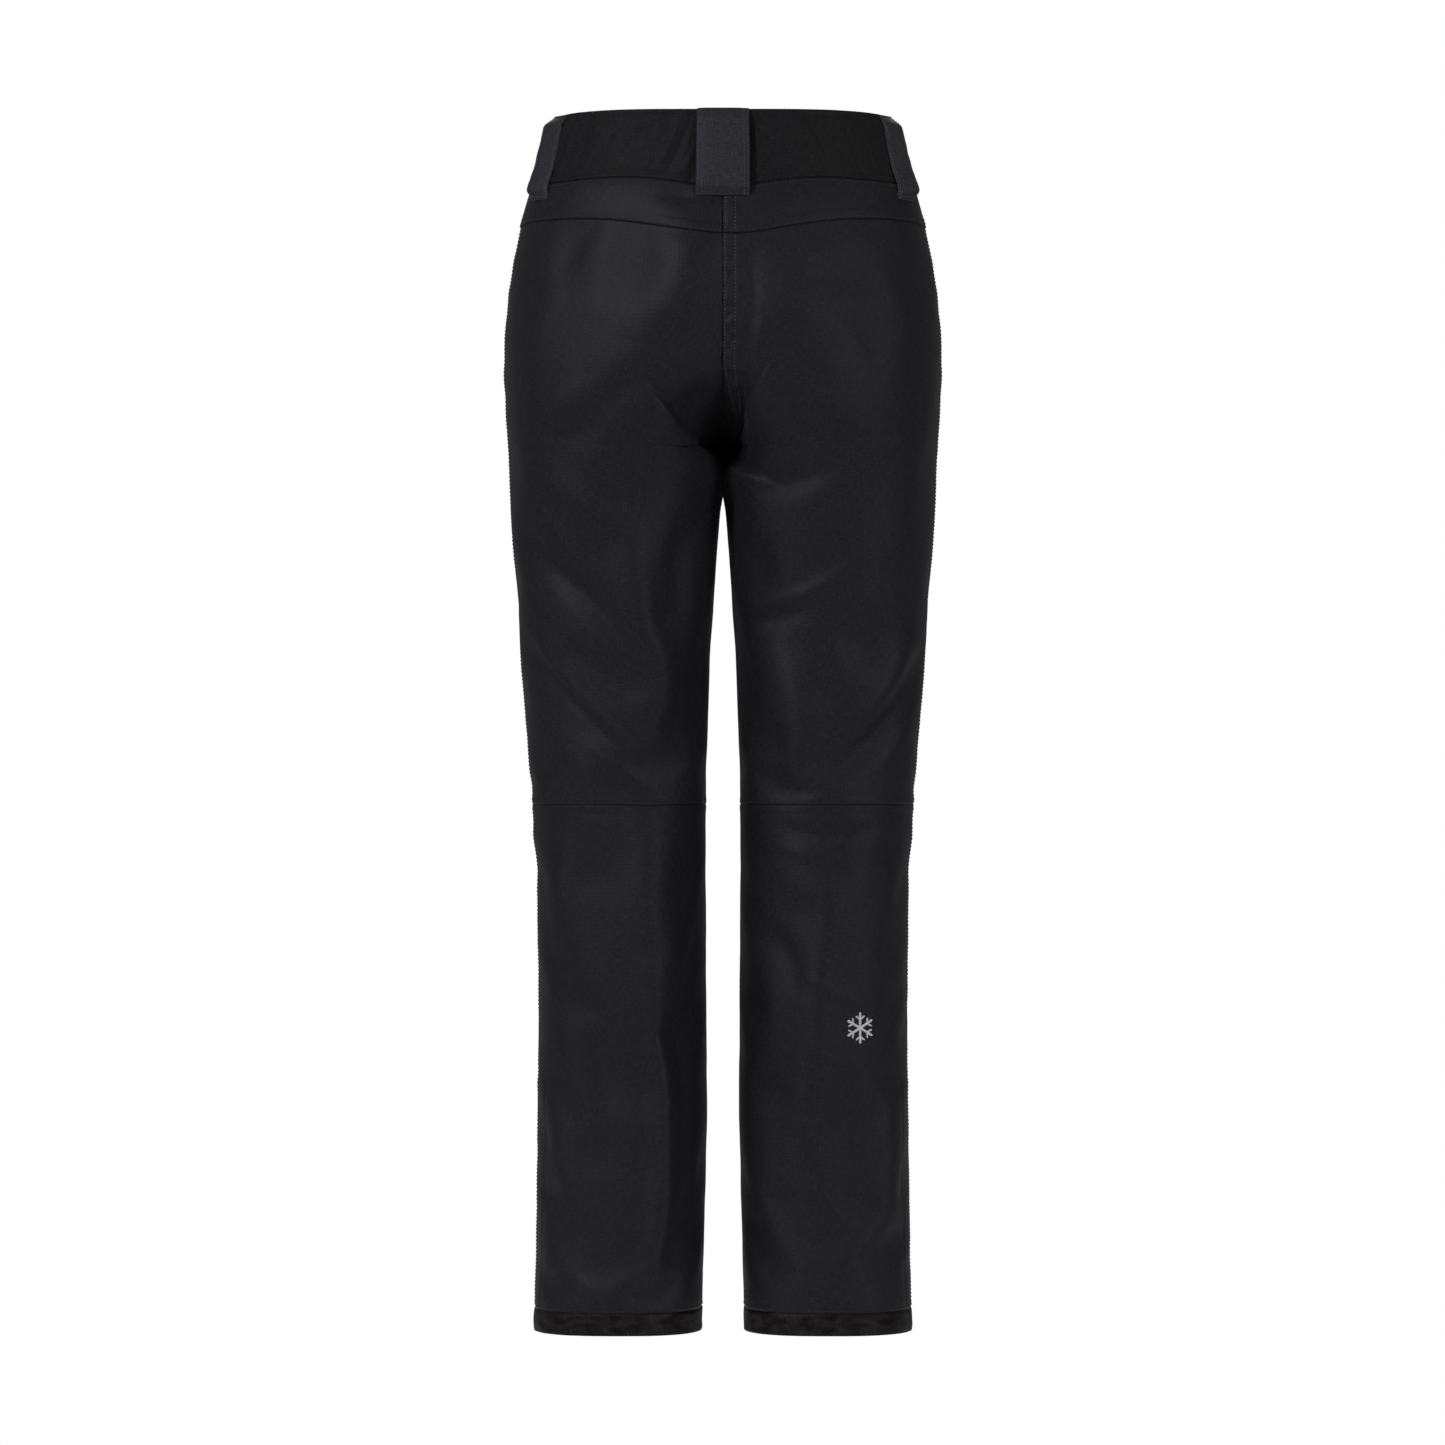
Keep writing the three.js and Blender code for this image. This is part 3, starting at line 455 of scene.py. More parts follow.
def simulate(side):
    """Lets one leg of cloth, a little longer than its place, settle between its seams."""
    us, ss = np.linspace(0, 1, SIM_U), np.linspace(0, 1, SIM_S)
    U, S = np.meshgrid(us, ss)
    Hh = lerp(HEM, band_bottom(U), S)
    P = base(U, Hh) + base_normal(U, Hh) * (fold_field(U, Hh, side) * 0.9)[..., None]
    P = P * np.array([side, 1, 1])
    me = bpy.data.meshes.new("settling")
    faces = grid_faces(SIM_S, SIM_U, flip=side > 0)
    me.from_pydata([tuple(v) for v in (row(P) * 10).reshape(-1, 3)], [], [tuple(int(i) for i in f) for f in faces])
    ob = bpy.data.objects.new("settling", me)
    scene.collection.objects.link(ob)
    pin = np.zeros(U.shape)
    pin[0], pin[-1], pin[:, 0], pin[:, -1] = 1, 1, 1, 1
    pin[:, SIM_U // 2] = 1
    knee_row = np.argmin(np.abs(Hh - KNEE_SEAM), axis=0)
    pin[knee_row, np.arange(SIM_U)] = 1
    yoke_row = np.argmin(np.abs(Hh - yoke_bottom(np.minimum(U, 0.5))), axis=0)
    for j in range(SIM_U // 2):
        pin[yoke_row[j], j] = 0.9
    g = ob.vertex_groups.new(name="pin")
    for v, w in enumerate(pin.ravel()):
        if w:
            g.add([v], float(w), "REPLACE")
    c = ob.modifiers.new("cloth", "CLOTH")
    c.settings.quality = 6
    c.settings.mass = 0.3
    c.settings.tension_stiffness = 20
    c.settings.compression_stiffness = 12
    c.settings.shear_stiffness = 6
    c.settings.bending_stiffness = 1.2
    c.settings.tension_damping = 12
    c.settings.compression_damping = 12
    c.settings.air_damping = 6
    c.settings.shrink_min = -0.010
    c.settings.vertex_group_mass = "pin"
    c.settings.pin_stiffness = 1.0
    c.settings.effector_weights.gravity = 0.25
    c.collision_settings.use_collision = False
    c.point_cache.frame_start, c.point_cache.frame_end = 1, 26
    for fr in range(1, 27):
        scene.frame_set(fr)
    dg = bpy.context.evaluated_depsgraph_get()
    ev = ob.evaluated_get(dg)
    co = np.zeros(len(ev.data.vertices) * 3)
    ev.data.vertices.foreach_get("co", co)
    scene.frame_set(1)
    bpy.data.objects.remove(ob)
    D = co.reshape(SIM_S, SIM_U, 3) * 100 + np.array([0, 0, ORIGIN]) - P
    D = D * np.array([side, 1, 1])
    N = base_normal(U, Hh)
    out = (D * N).sum(-1)
    print("settled", side, "out min/mean/max mm", out.min().round(2), out.mean().round(2), out.max().round(2), "rms", np.sqrt((out**2).mean()).round(2))
    L = np.linalg.norm(D, axis=-1, keepdims=True)
    cap = 3.2
    D = D * (cap * np.tanh(L / cap) / np.maximum(L, 1e-6))
    # near the sides and the inseam the cloth hangs closer to its line
    D = D * (0.4 + 0.6 * np.clip(np.abs(N[..., 1]) * 1.5 - 0.25, 0, 1))[..., None]
    D[pin >= 1] = 0
    # read on the drape's own places
    fine_u = spline_rows(M_U * (SIM_U - 1), SIM_U)
    grid = np.einsum("uj,sjk->suk", fine_u, D)
    out = np.zeros((len(M_H), len(M_U), 3))
    top = band_bottom(M_U)
    for j in range(len(M_U)):
        s = (M_H - HEM) / (top[j] - HEM)
        A = spline_rows(np.clip(s, 0, 1) * (SIM_S - 1), SIM_S)
        out[:, j] = A @ grid[:, j]
        out[(s < 0) | (s > 1), j] = 0
    return out


def over_bags(u, h):
    """1 where a pocket bag or the fly shield lies just behind the cloth, 0 away from them."""
    across = np.maximum(sstep((u - 0.515) / 0.03) * sstep((0.835 - u) / 0.03), sstep((u - 0.865) / 0.03))
    return across * sstep((h - 838) / 20)


def make_drape(side):
    U, H_ = np.meshgrid(M_U, M_H)
    d = fold_field(U, H_, side)
    v = base_normal(U, H_) * d[..., None]
    v = v + simulate(side)
    v = v * calm_near_zips(U, H_)[..., None]
    n = base_normal(U, H_)
    out = (v * n).sum(-1)
    bag = over_bags(U, H_)
    limit = np.where(bag > 0, lerp(-4.0, -0.45, bag), -99.0)
    DRAPE[side] = v + n * (limit + 0.35 * np.logaddexp(0, (out - limit) / 0.35) - out)[..., None]


def drape(u, h, side):
    if side not in DRAPE:
        make_drape(side)
    t = DRAPE[side]
    fu = np.clip(u, 0, 1) * MU
    fh = np.clip(h / MH, 0, len(M_H) - 1.001)
    iu = np.clip(fu.astype(int), 0, MU - 1)
    ih = fh.astype(int)
    a, b = (fu - iu)[..., None], (fh - ih)[..., None]
    return (t[ih, iu] * (1 - a) + t[ih, iu + 1] * a) * (1 - b) + (t[ih + 1, iu] * (1 - a) + t[ih + 1, iu + 1] * a) * b


def seam_field(u, h, side):
    """Grooves, thick allowances and small puckers along the seams, mm, outwards."""
    L = half_length(u, h)
    arc = lambda at: np.abs(u - at) / 0.5 * L
    side_seam = arc(0.5)
    below = h < band_bottom(u) - 1
    pucker = lambda s, seed, wave: vnoise(np.stack([s, s * 0, s * 0], -1), (wave, 1, 1), seed)
    d = np.where(below, seam_profile(side_seam, 0.7, 1.3, 0.25, 4.5), 0)
    d = d + np.where(below & (side_seam < 20), 0.22 * pucker(h + 40 * side, 5, 7.5) * np.exp(-((side_seam / 8) ** 2)), 0)
    centre = np.minimum(arc(0), arc(1))
    above = (h > CROTCH + 4) & below
    at_back = u < 0.5
    fell = above & at_back & (side < 0)
    flat = sstep(centre / 0.8) * sstep((12.6 - centre) / 1.3)
    slant = vnoise(np.stack([(h - centre * 0.9), h * 0, h * 0], -1), (4.6, 1, 1), 15) + 0.5 * vnoise(np.stack([(h - centre * 0.5), centre, h * 0], -1), (2.6, 5, 1), 16)
    rows_press = np.exp(-(((centre - 1.8) / 0.7) ** 2)) + np.exp(-(((centre - 10.6) / 0.7) ** 2))
    d = d + np.where(fell, flat * (1.05 + 1.15 * slant - 0.7 * rows_press), 0)
    d = d + np.where(fell, 0.35 * pucker(h, 6, 8.0) * np.exp(-((np.maximum(0, centre - 12) / 8) ** 2)) * sstep((centre - 12) / 2), 0)
    d = d + np.where(above & at_back & (side > 0), -0.35 * np.exp(-((centre / 1.1) ** 2)) + 0.35 * pucker(h, 6, 8.0) * np.exp(-((centre / 9) ** 2)) * sstep(centre / 2), 0)
    d = d + np.where(above & ~at_back, seam_profile(centre, 0.8, 1.2, 0.4, 8.5) + 0.3 * pucker(h, 6, 8.0) * np.exp(-((centre / 10) ** 2)), 0)
    d = d + np.where(h <= CROTCH, seam_profile(np.where(h <= CROTCH, centre, 99), 0.6, 1.3, 0.2, 4.5), 0)
    yoke = np.where(u <= 0.5, np.abs(h - yoke_bottom(np.minimum(u, 0.5))), 99)
    d = d + seam_profile(yoke, 0.45, 0.9, 0.0, 4) + np.where((u <= 0.5) & (h > yoke_bottom(np.minimum(u, 0.5))), 0.45 * sstep((10 - yoke) / 4), 0)
    arc_s = np.where(u < 0.5, 0.5 - u, u - 0.5) / 0.5 * L
    d = d + np.where(yoke < 24, 0.28 * pucker(arc_s + 300 * side, 8, 8.5) * np.exp(-((yoke / 9) ** 2)), 0)
    facing_edge = np.abs((0.5 - u) / 0.5 * L - 40)
    on_facing = (u < 0.5) & (h < 222) & (h > HEM)
    d = d + np.where(on_facing, 0.5 * sstep((40.8 - (0.5 - u) / 0.5 * L) / 1.6) * sstep((219 - h) / 2.5) - 0.3 * np.exp(-(((facing_edge - 2.4) / 0.9) ** 2)) * sstep((219 - h) / 4), 0)
    knee = np.abs(h - KNEE_SEAM)
    d = d + seam_profile(knee, 0.4, 0.9, 0.3, 6.0)
    d = d + np.where((knee < 30) & (h > KNEE_SEAM), 0.5 * pucker(arc_s + 500 * side, 9, 9.0) * np.exp(-((knee / 11) ** 2)), 0)
    d = d + np.where((knee < 30) & (h <= KNEE_SEAM), 0.22 * pucker(arc_s + 500 * side, 9, 9.0) * np.exp(-((knee / 7) ** 2)), 0)
    hem = np.abs(h - HEM)
    d = d + seam_profile(hem, 0.6, 1.1, 0.0, 4.0) + np.where((hem < 24), 0.35 * pucker(arc_s + 700 * side, 10, 10.0) * np.exp(-((hem / 9) ** 2)), 0)
    d = d + np.where(h < HEM, 0.5 * sstep((HEM - h) / 2.0), 0)
    bandseam = np.abs(h - band_bottom(u))
    d = d + np.where(h < band_bottom(u), -0.8 * np.exp(-((bandseam / 1.3) ** 2)) + 0.4 * pucker(arc_s + 900 * side, 11, 9.5) * np.exp(-((bandseam / 9) ** 2)) * sstep(bandseam / 3), 0)
    return d


def skin(u, h, side, out=0.0):
    """Outer surface of the cloth, mm."""
    u, h = np.broadcast_arrays(np.asarray(u, float), np.asarray(h, float))
    q = base(u, h) + drape(u, h, side) + base_normal(u, h) * (seam_field(u, h, side) + out)[..., None]
    touch = sstep((h - 716) / 34) * sstep((CROTCH + 1 - h) / 3) * sstep((22 - q[..., 0]) / 18)
    inseam = sstep((0.03 - np.minimum(u, 1 - u)) / 0.026) * sstep((h - 742) / 12) * sstep((CROTCH + 1 - h) / 2)
    q[..., 0] = q[..., 0] - 3.4 * touch - 10 * inseam
    nest = side * 0.38 * np.sin(q[..., 1] / 7.0) * sstep((h - 722) / 10) * sstep((CROTCH - 1 - h) / 5)
    seam = ((u <= 1e-6) | (u >= 1 - 1e-6)) & (h > CROTCH)
    q[..., 0] = np.where(seam, 0.0, np.maximum(q[..., 0], np.where(h > CROTCH, 0.0, np.where(h > 764, 0.02, 0.12) + nest)))
    q[..., 0] = q[..., 0] * side
    return q


def skin_frame(u, h, side):
    """Point on the cloth, its outward normal, and unit steps along and up the cloth."""
    e = 0.8
    L = half_length(u, h)
    du = e / L * 0.5
    lo, hi = np.clip(u - du, 0, 1), np.clip(u + du, 0, 1)
    p = skin(u, h, side)
    tu = unit(skin(hi, h, side) - skin(lo, h, side))
    th = unit(skin(u, h + e, side) - skin(u, h - e, side))
    n = unit(np.cross(th, tu) * side)
    return p, n, tu, th


def row(p):
    """mm above the hem to metres in the row frame."""
    p = np.asarray(p, float)
    return np.stack([p[..., 0], p[..., 1], p[..., 2] - ORIGIN], -1) / 1000.0


# ------------------------------------------------------------------ mesh helpers
def new_object(name, verts, faces, material=None, uvs=None, smooth=True):
    me = bpy.data.meshes.new(name)
    me.from_pydata(np.asarray(verts, float).tolist(), [], faces.tolist() if hasattr(faces, "tolist") else [tuple(int(i) for i in f) for f in faces])
    if uvs is not None:
        layer = me.uv_layers.new(name="UVMap")
        loops = np.zeros(len(me.loops), np.int32)
        me.loops.foreach_get("vertex_index", loops)
        layer.data.foreach_set("uv", np.asarray(uvs, np.float32)[loops].ravel())
    if smooth:
        me.polygons.foreach_set("use_smooth", np.ones(len(me.polygons), bool))
    me.update()
    ob = bpy.data.objects.new(name, me)
    scene.collection.objects.link(ob)
    if material is not None:
        me.materials.append(material)
    return ob


def graded(length, coarse, fine, reach, both=True):
    """Places from 0 to 1 along a length, closer together near the ends."""
    out = [0.0]
    while out[-1] < length:
        here = out[-1]
        near = min(here, length - here) if both else here
        out.append(here + lerp(fine, coarse, min(1, max(0, (near - reach) / (reach * 0.8)))))
    out = np.array(out) / out[-1]
    return out


def with_crotch_rows(s, top, bottom):
    """Adds rows where the legs part, because the cloth turns sharply there."""
    extra = np.concatenate([np.arange(-6, 4, 1.2), np.arange(4, 14, 1.0)])
    heights = CROTCH + extra
    add = (top - heights) / (top - bottom)
    return np.unique(np.round(np.concatenate([s, add]), 5))


def cloth_piece(name, side, u0, u1, top, bottom, material, coarse=2.6, fine=0.7, reach=8, out=0.0, turn=1.2, crotch=False, skin_of=skin, offset=-1.0):
    """One panel of cloth, its cut edges turned in."""
    mid_h = 0.5 * (float(top(0.25)) + float(bottom(0.25)))
    L = float(half_length(u0 + 0.01, mid_h)) * (u1 - u0) / 0.5
    cu = graded(L, coarse, fine, reach)
    H = float(top(0.25)) - float(bottom(0.25))
    cs = graded(H, coarse, fine, reach)
    if crotch:
        cs = with_crotch_rows(cs, float(top(0.0)), float(bottom(0.0)))
    u = u0 + (u1 - u0) * cu
    U, S = np.meshgrid(u, cs)
    Hh = lerp(top(U), bottom(U), S)
    P = skin_of(U, Hh, side, out)
    arc = (U - 0.5) / 0.5 * half_length(U, np.minimum(Hh, 900))
    uv = np.stack([arc, Hh], -1)
    rows, cols = U.shape
    ob = new_object(name, row(P).reshape(-1, 3), grid_faces(rows, cols, flip=side > 0), material, uv.reshape(-1, 2) / 1000.0)
    e1 = np.linalg.norm(np.diff(P, axis=0), axis=-1)
    e2 = np.linalg.norm(np.diff(P, axis=1), axis=-1)
    ob["area_m2"] = float((0.5 * (e1[:, 1:] + e1[:, :-1]) * 0.5 * (e2[1:] + e2[:-1])).sum() / 1e6)
    ob["flat_w"] = float(e2.sum(1).max() / 1000)
    ob["flat_l"] = float(e1.sum(0).max() / 1000)
    thicken(ob, turn, offset)
    return ob


def thicken(ob, mm, offset=-1.0):
    """Gives a cloth surface its thickness and closes it along its cut edges."""
    m = ob.modifiers.new("thickness", "SOLIDIFY")
    m.thickness = mm / 1000
    m.offset = offset
    m.use_even_offset = False
    m.use_rim = True
    dg = bpy.context.evaluated_depsgraph_get()
    me = bpy.data.meshes.new_from_object(ob.evaluated_get(dg), preserve_all_data_layers=True, depsgraph=dg)
    ob.modifiers.clear()
    old = ob.data
    ob.data = me
    bpy.data.meshes.remove(old)
    me.polygons.foreach_set("use_smooth", np.ones(len(me.polygons), bool))
    return ob


def cut_cloth(ob):
    """Removes the stored cut size (flat width, flat length, area) from the piece."""
    for k in ("flat_w", "flat_l", "area_m2"):
        del ob[k]


# ------------------------------------------------------------------ materials
def nodes_of(mat):
    mat.use_nodes = True
    nt = mat.node_tree
    nt.nodes.clear()
    out = nt.nodes.new("ShaderNodeOutputMaterial")
    bsdf = nt.nodes.new("ShaderNodeBsdfPrincipled")
    nt.links.new(bsdf.outputs[0], out.inputs[0])
    return nt, bsdf


def fabric(name, colour, tint, roughness, sheen, sheen_rough, weave_mm=0.55, bump=0.16, twill=0.0, variation=0.11, edge_highlight=0.0, coat=0.0, mottled=2.0, specular=0.12, fleck=0.75, patches=None):
    """Woven cloth: crossing threads, slubs, a little cloudiness, sheen."""
    mat = bpy.data.materials.new(name)
    nt, bsdf = nodes_of(mat)
    N, Lk = nt.nodes, nt.links
    coord = N.new("ShaderNodeTexCoord")
    uv = N.new("ShaderNodeMapping")
    uv.inputs["Scale"].default_value = (1, 1, 1)
    Lk.new(coord.outputs["UV"], uv.inputs["Vector"])
    # crossing threads
    per = 1.0 / (weave_mm / 1000.0)
    warp = N.new("ShaderNodeTexWave"); warp.wave_type = "BANDS"; warp.bands_direction = "X"
    weft = N.new("ShaderNodeTexWave"); weft.wave_type = "BANDS"; weft.bands_direction = "Y"
    for w in (warp, weft):
        w.inputs["Scale"].default_value = per / 20.0 * 3.14159 / 3.14159
        w.inputs["Distortion"].default_value = 2.2
        w.inputs["Detail"].default_value = 1.0
        w.inputs["Detail Scale"].default_value = 1.5
        Lk.new(uv.outputs[0], w.inputs["Vector"])
    if twill:
        uv.inputs["Rotation"].default_value = (0, 0, twill)
    thread = N.new("ShaderNodeMath"); thread.operation = "MULTIPLY"
    Lk.new(warp.outputs["Fac"], thread.inputs[0]); Lk.new(weft.outputs["Fac"], thread.inputs[1])
    slub = N.new("ShaderNodeTexNoise")
    slub.inputs["Scale"].default_value = 900
    slub.inputs["Detail"].default_value = 2
    stretch = N.new("ShaderNodeMapping")
    stretch.inputs["Scale"].default_value = (1.0, 0.35, 1.0)
    Lk.new(coord.outputs["UV"], stretch.inputs["Vector"]); Lk.new(stretch.outputs[0], slub.inputs["Vector"])
    cloud = N.new("ShaderNodeTexNoise")
    cloud.inputs["Scale"].default_value = mottled * 6
    cloud.inputs["Detail"].default_value = 3
    cloud.inputs["Roughness"].default_value = 0.6
    Lk.new(coord.outputs["Object"], cloud.inputs["Vector"])
    # colour: slow cloudiness, blotches a few millimetres across, flecks of single threads both ways
    ramp = N.new("ShaderNodeMix"); ramp.data_type = "RGBA"
    ramp.inputs["A"].default_value = (*[c * (1 - variation) for c in colour], 1)
    ramp.inputs["B"].default_value = (*[c * (1 + variation) + t for c, t in zip(colour, tint)], 1)
    mixf = N.new("ShaderNodeMath"); mixf.operation = "MULTIPLY_ADD"
    Lk.new(cloud.outputs["Fac"], mixf.inputs[0]); mixf.inputs[1].default_value = 1.5; mixf.inputs[2].default_value = -0.25
    Lk.new(mixf.outputs[0], ramp.inputs["Factor"])

    def streak(scale, squash, lo, hi, a_, b_, detail=1.0):
        m_ = N.new("ShaderNodeMapping"); m_.inputs["Scale"].default_value = squash
        t_ = N.new("ShaderNodeTexNoise"); t_.inputs["Scale"].default_value = scale; t_.inputs["Detail"].default_value = detail
        r_ = N.new("ShaderNodeMapRange")
        r_.inputs["From Min"].default_value = lo; r_.inputs["From Max"].default_value = hi
        r_.inputs["To Min"].default_value = a_; r_.inputs["To Max"].default_value = b_
        Lk.new(coord.outputs["UV"], m_.inputs["Vector"]); Lk.new(m_.outputs[0], t_.inputs["Vector"]); Lk.new(t_.outputs["Fac"], r_.inputs["Value"])
        return r_.outputs[0]

    def times(a_, b_):
        m_ = N.new("ShaderNodeMath"); m_.operation = "MULTIPLY"
        Lk.new(a_, m_.inputs[0]); Lk.new(b_, m_.inputs[1])
        return m_.outputs[0]

    grain = times(streak(1500, (1.0, 0.10, 1.0), 0.3, 0.7, 1 - 0.5 * fleck, 1 + 0.5 * fleck), streak(1500, (0.10, 1.0, 1.0), 0.3, 0.7, 1 - 0.5 * fleck, 1 + 0.5 * fleck))
    grain = times(grain, streak(620, (1.0, 1.0, 1.0), 0.3, 0.7, 1 - 0.12 * fleck, 1 + 0.12 * fleck, 2.0))
    grain = times(grain, streak(90, (1.0, 0.5, 1.0), 0.3, 0.7, 1 - 0.05 * fleck, 1 + 0.05 * fleck, 2.0))
    if patches:
        grain = times(grain, streak(patches[0], (0.5, 1.3, 1.0), 0.38, 0.62, 1 - patches[1], 1 + patches[1], 3.0))
    speck = N.new("ShaderNodeVectorMath"); speck.operation = "SCALE"
    Lk.new(ramp.outputs["Result"], speck.inputs[0]); Lk.new(grain, speck.inputs["Scale"])
    last = speck.outputs[0]
    # painted highlight: the base colour is made lighter along convex edges (pointiness), standing in for light catching
    # them
    if edge_highlight:
        geo = N.new("ShaderNodeNewGeometry")
        edge = N.new("ShaderNodeMapRange")
        edge.inputs["From Min"].default_value = 0.52; edge.inputs["From Max"].default_value = 0.60
        Lk.new(geo.outputs["Pointiness"], edge.inputs["Value"])
        edge_lit_colour = N.new("ShaderNodeMix"); edge_lit_colour.data_type = "RGBA"
        edge_lit_colour.inputs["B"].default_value = (*[min(1, c * 2.2 + 0.01) for c in colour], 1)
        amount = N.new("ShaderNodeMath"); amount.operation = "MULTIPLY"
        Lk.new(edge.outputs[0], amount.inputs[0]); amount.inputs[1].default_value = edge_highlight
        Lk.new(amount.outputs[0], edge_lit_colour.inputs["Factor"]); Lk.new(last, edge_lit_colour.inputs["A"])
        last = edge_lit_colour.outputs["Result"]
    Lk.new(last, bsdf.inputs["Base Color"])
    rough = N.new("ShaderNodeMapRange")
    rough.inputs["To Min"].default_value = max(0.05, roughness - 0.09); rough.inputs["To Max"].default_value = min(1, roughness + 0.09)
    Lk.new(cloud.outputs["Fac"], rough.inputs["Value"]); Lk.new(rough.outputs[0], bsdf.inputs["Roughness"])
    bsdf.inputs["Sheen Weight"].default_value = sheen
    bsdf.inputs["Sheen Roughness"].default_value = sheen_rough
    bsdf.inputs["Specular IOR Level"].default_value = specular
    if coat:
        bsdf.inputs["Coat Weight"].default_value = coat
        bsdf.inputs["Coat Roughness"].default_value = 0.32
    height = N.new("ShaderNodeMath"); height.operation = "MULTIPLY_ADD"
    Lk.new(slub.outputs["Fac"], height.inputs[0]); height.inputs[1].default_value = 0.9
    Lk.new(thread.outputs[0], height.inputs[2])
    b = N.new("ShaderNodeBump")
    b.inputs["Strength"].default_value = bump
    b.inputs["Distance"].default_value = 0.00035
    Lk.new(height.outputs[0], b.inputs["Height"]); Lk.new(b.outputs[0], bsdf.inputs["Normal"])
    return mat


def thread_mat(name, colour, roughness=0.55):
    mat = bpy.data.materials.new(name)
    nt, bsdf = nodes_of(mat)
    N, Lk = nt.nodes, nt.links
    coord = N.new("ShaderNodeTexCoord")
    noise = N.new("ShaderNodeTexNoise"); noise.inputs["Scale"].default_value = 400
    Lk.new(coord.outputs["Object"], noise.inputs["Vector"])
    mix = N.new("ShaderNodeMix"); mix.data_type = "RGBA"
    mix.inputs["A"].default_value = (*[c * 0.7 for c in colour], 1); mix.inputs["B"].default_value = (*[c * 1.3 for c in colour], 1)
    Lk.new(noise.outputs["Fac"], mix.inputs["Factor"]); Lk.new(mix.outputs["Result"], bsdf.inputs["Base Color"])
    bsdf.inputs["Roughness"].default_value = roughness
    bsdf.inputs["Specular IOR Level"].default_value = 0.25
    return mat


def metal_mat(name, colour, roughness, metallic=1.0):
    mat = bpy.data.materials.new(name)
    nt, bsdf = nodes_of(mat)
    N, Lk = nt.nodes, nt.links
    coord = N.new("ShaderNodeTexCoord")
    noise = N.new("ShaderNodeTexNoise"); noise.inputs["Scale"].default_value = 260; noise.inputs["Detail"].default_value = 4
    Lk.new(coord.outputs["Object"], noise.inputs["Vector"])
    # painted highlight: the base colour turns lighter on convex edges (pointiness)
    geo = N.new("ShaderNodeNewGeometry")
    edge = N.new("ShaderNodeMapRange"); edge.inputs["From Min"].default_value = 0.5; edge.inputs["From Max"].default_value = 0.62
    Lk.new(geo.outputs["Pointiness"], edge.inputs["Value"])
    mix = N.new("ShaderNodeMix"); mix.data_type = "RGBA"
    mix.inputs["A"].default_value = (*colour, 1); mix.inputs["B"].default_value = (*[min(1, c * 3 + 0.05) for c in colour], 1)
    Lk.new(edge.outputs[0], mix.inputs["Factor"]); Lk.new(mix.outputs["Result"], bsdf.inputs["Base Color"])
    rough = N.new("ShaderNodeMapRange"); rough.inputs["To Min"].default_value = roughness - 0.1; rough.inputs["To Max"].default_value = roughness + 0.12
    Lk.new(noise.outputs["Fac"], rough.inputs["Value"]); Lk.new(rough.outputs[0], bsdf.inputs["Roughness"])
    bsdf.inputs["Metallic"].default_value = metallic
    b = N.new("ShaderNodeBump"); b.inputs["Strength"].default_value = 0.08; b.inputs["Distance"].default_value = 0.0002
    Lk.new(noise.outputs["Fac"], b.inputs["Height"]); Lk.new(b.outputs[0], bsdf.inputs["Normal"])
    return mat


M = {
    "shell": fabric("shell_cloth", (0.0067, 0.0064, 0.0084), (0.0, 0.0, 0.0004), 0.6, 0.02, 0.4),
    "lower": fabric("lower_leg_cloth", (0.0062, 0.0059, 0.0079), (0.0, 0.0, 0.0002), 0.6, 0.02, 0.4),
    # yoke: the shell cloth painted a little darker, painted shade where the upward-facing yoke catches the key light
    "yoke": fabric("yoke_cloth_painted_darker", (0.0064, 0.0061, 0.0084), (0.0, 0.0, 0.0004), 0.6, 0.02, 0.4),
    "band": fabric("waistband_cloth", (0.0056, 0.0056, 0.0064), (0.0, 0.0, 0.0), 0.64, 0.02, 0.5, bump=0.35, specular=0.07),
    # belt loops: painted highlight along their convex edges
    "loop": fabric("belt_loop_cloth", (0.0145, 0.0135, 0.0165), (0.0004, 0.0, 0.0004), 0.6, 0.08, 0.4, edge_highlight=0.25),
    "hem": fabric("hem_cloth", (0.0052, 0.0045, 0.0047), (0.0026, 0.0011, 0.0008), 0.5, 0.0, 0.4, variation=0.5, mottled=22, specular=0.06, patches=(105, 0.6)),
    "lining": fabric("lining_taffeta", (0.014, 0.014, 0.0155), (0, 0, 0), 0.45, 0.05, 0.4, weave_mm=0.3, bump=0.12, specular=0.3),
    "gaiter": fabric("gaiter_taffeta", (0.012, 0.012, 0.0135), (0, 0, 0), 0.42, 0.04, 0.4, weave_mm=0.3, bump=0.15, specular=0.3),
    "tape": fabric("zip_tape_weave", (0.006, 0.006, 0.0065), (0, 0, 0), 0.7, 0.04, 0.5, weave_mm=0.5, bump=0.5, twill=0.6),
    "pocket": fabric("pocket_tricot", (0.015, 0.015, 0.016), (0, 0, 0), 0.8, 0.08, 0.5),
    "stitch": thread_mat("stitch_thread", (0.0112, 0.0106, 0.0132)),
    # centre back stitches: the same thread painted lighter, a painted highlight on the raised felled seam
    "stitch_seam": thread_mat("seat_seam_thread_painted_highlight", (0.0215, 0.0205, 0.0245)),
    "stitch_dark": thread_mat("dark_thread", (0.0048, 0.0046, 0.0054)),
    "stitch_light": thread_mat("loop_thread", (0.034, 0.032, 0.038)),
    "elastic": fabric("gripper_elastic", (0.01, 0.01, 0.0105), (0, 0, 0), 0.55, 0.05, 0.4, weave_mm=1.2, bump=0.8),
    "coil": thread_mat("zip_coil_nylon", (0.009, 0.009, 0.01), 0.38),
    "dark_metal": metal_mat("blackened_metal", (0.011, 0.011, 0.012), 0.55, metallic=0.0),
    "silver": thread_mat("embroidery_thread", (0.42, 0.42, 0.44), 0.38),
    "metal": metal_mat("gunmetal", (0.06, 0.06, 0.064), 0.34),
}

HANDS = (("left", 1), ("right", -1))


def bend_hip(ob):
    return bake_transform(ob)


def bend_knee(ob):
    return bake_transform(ob)


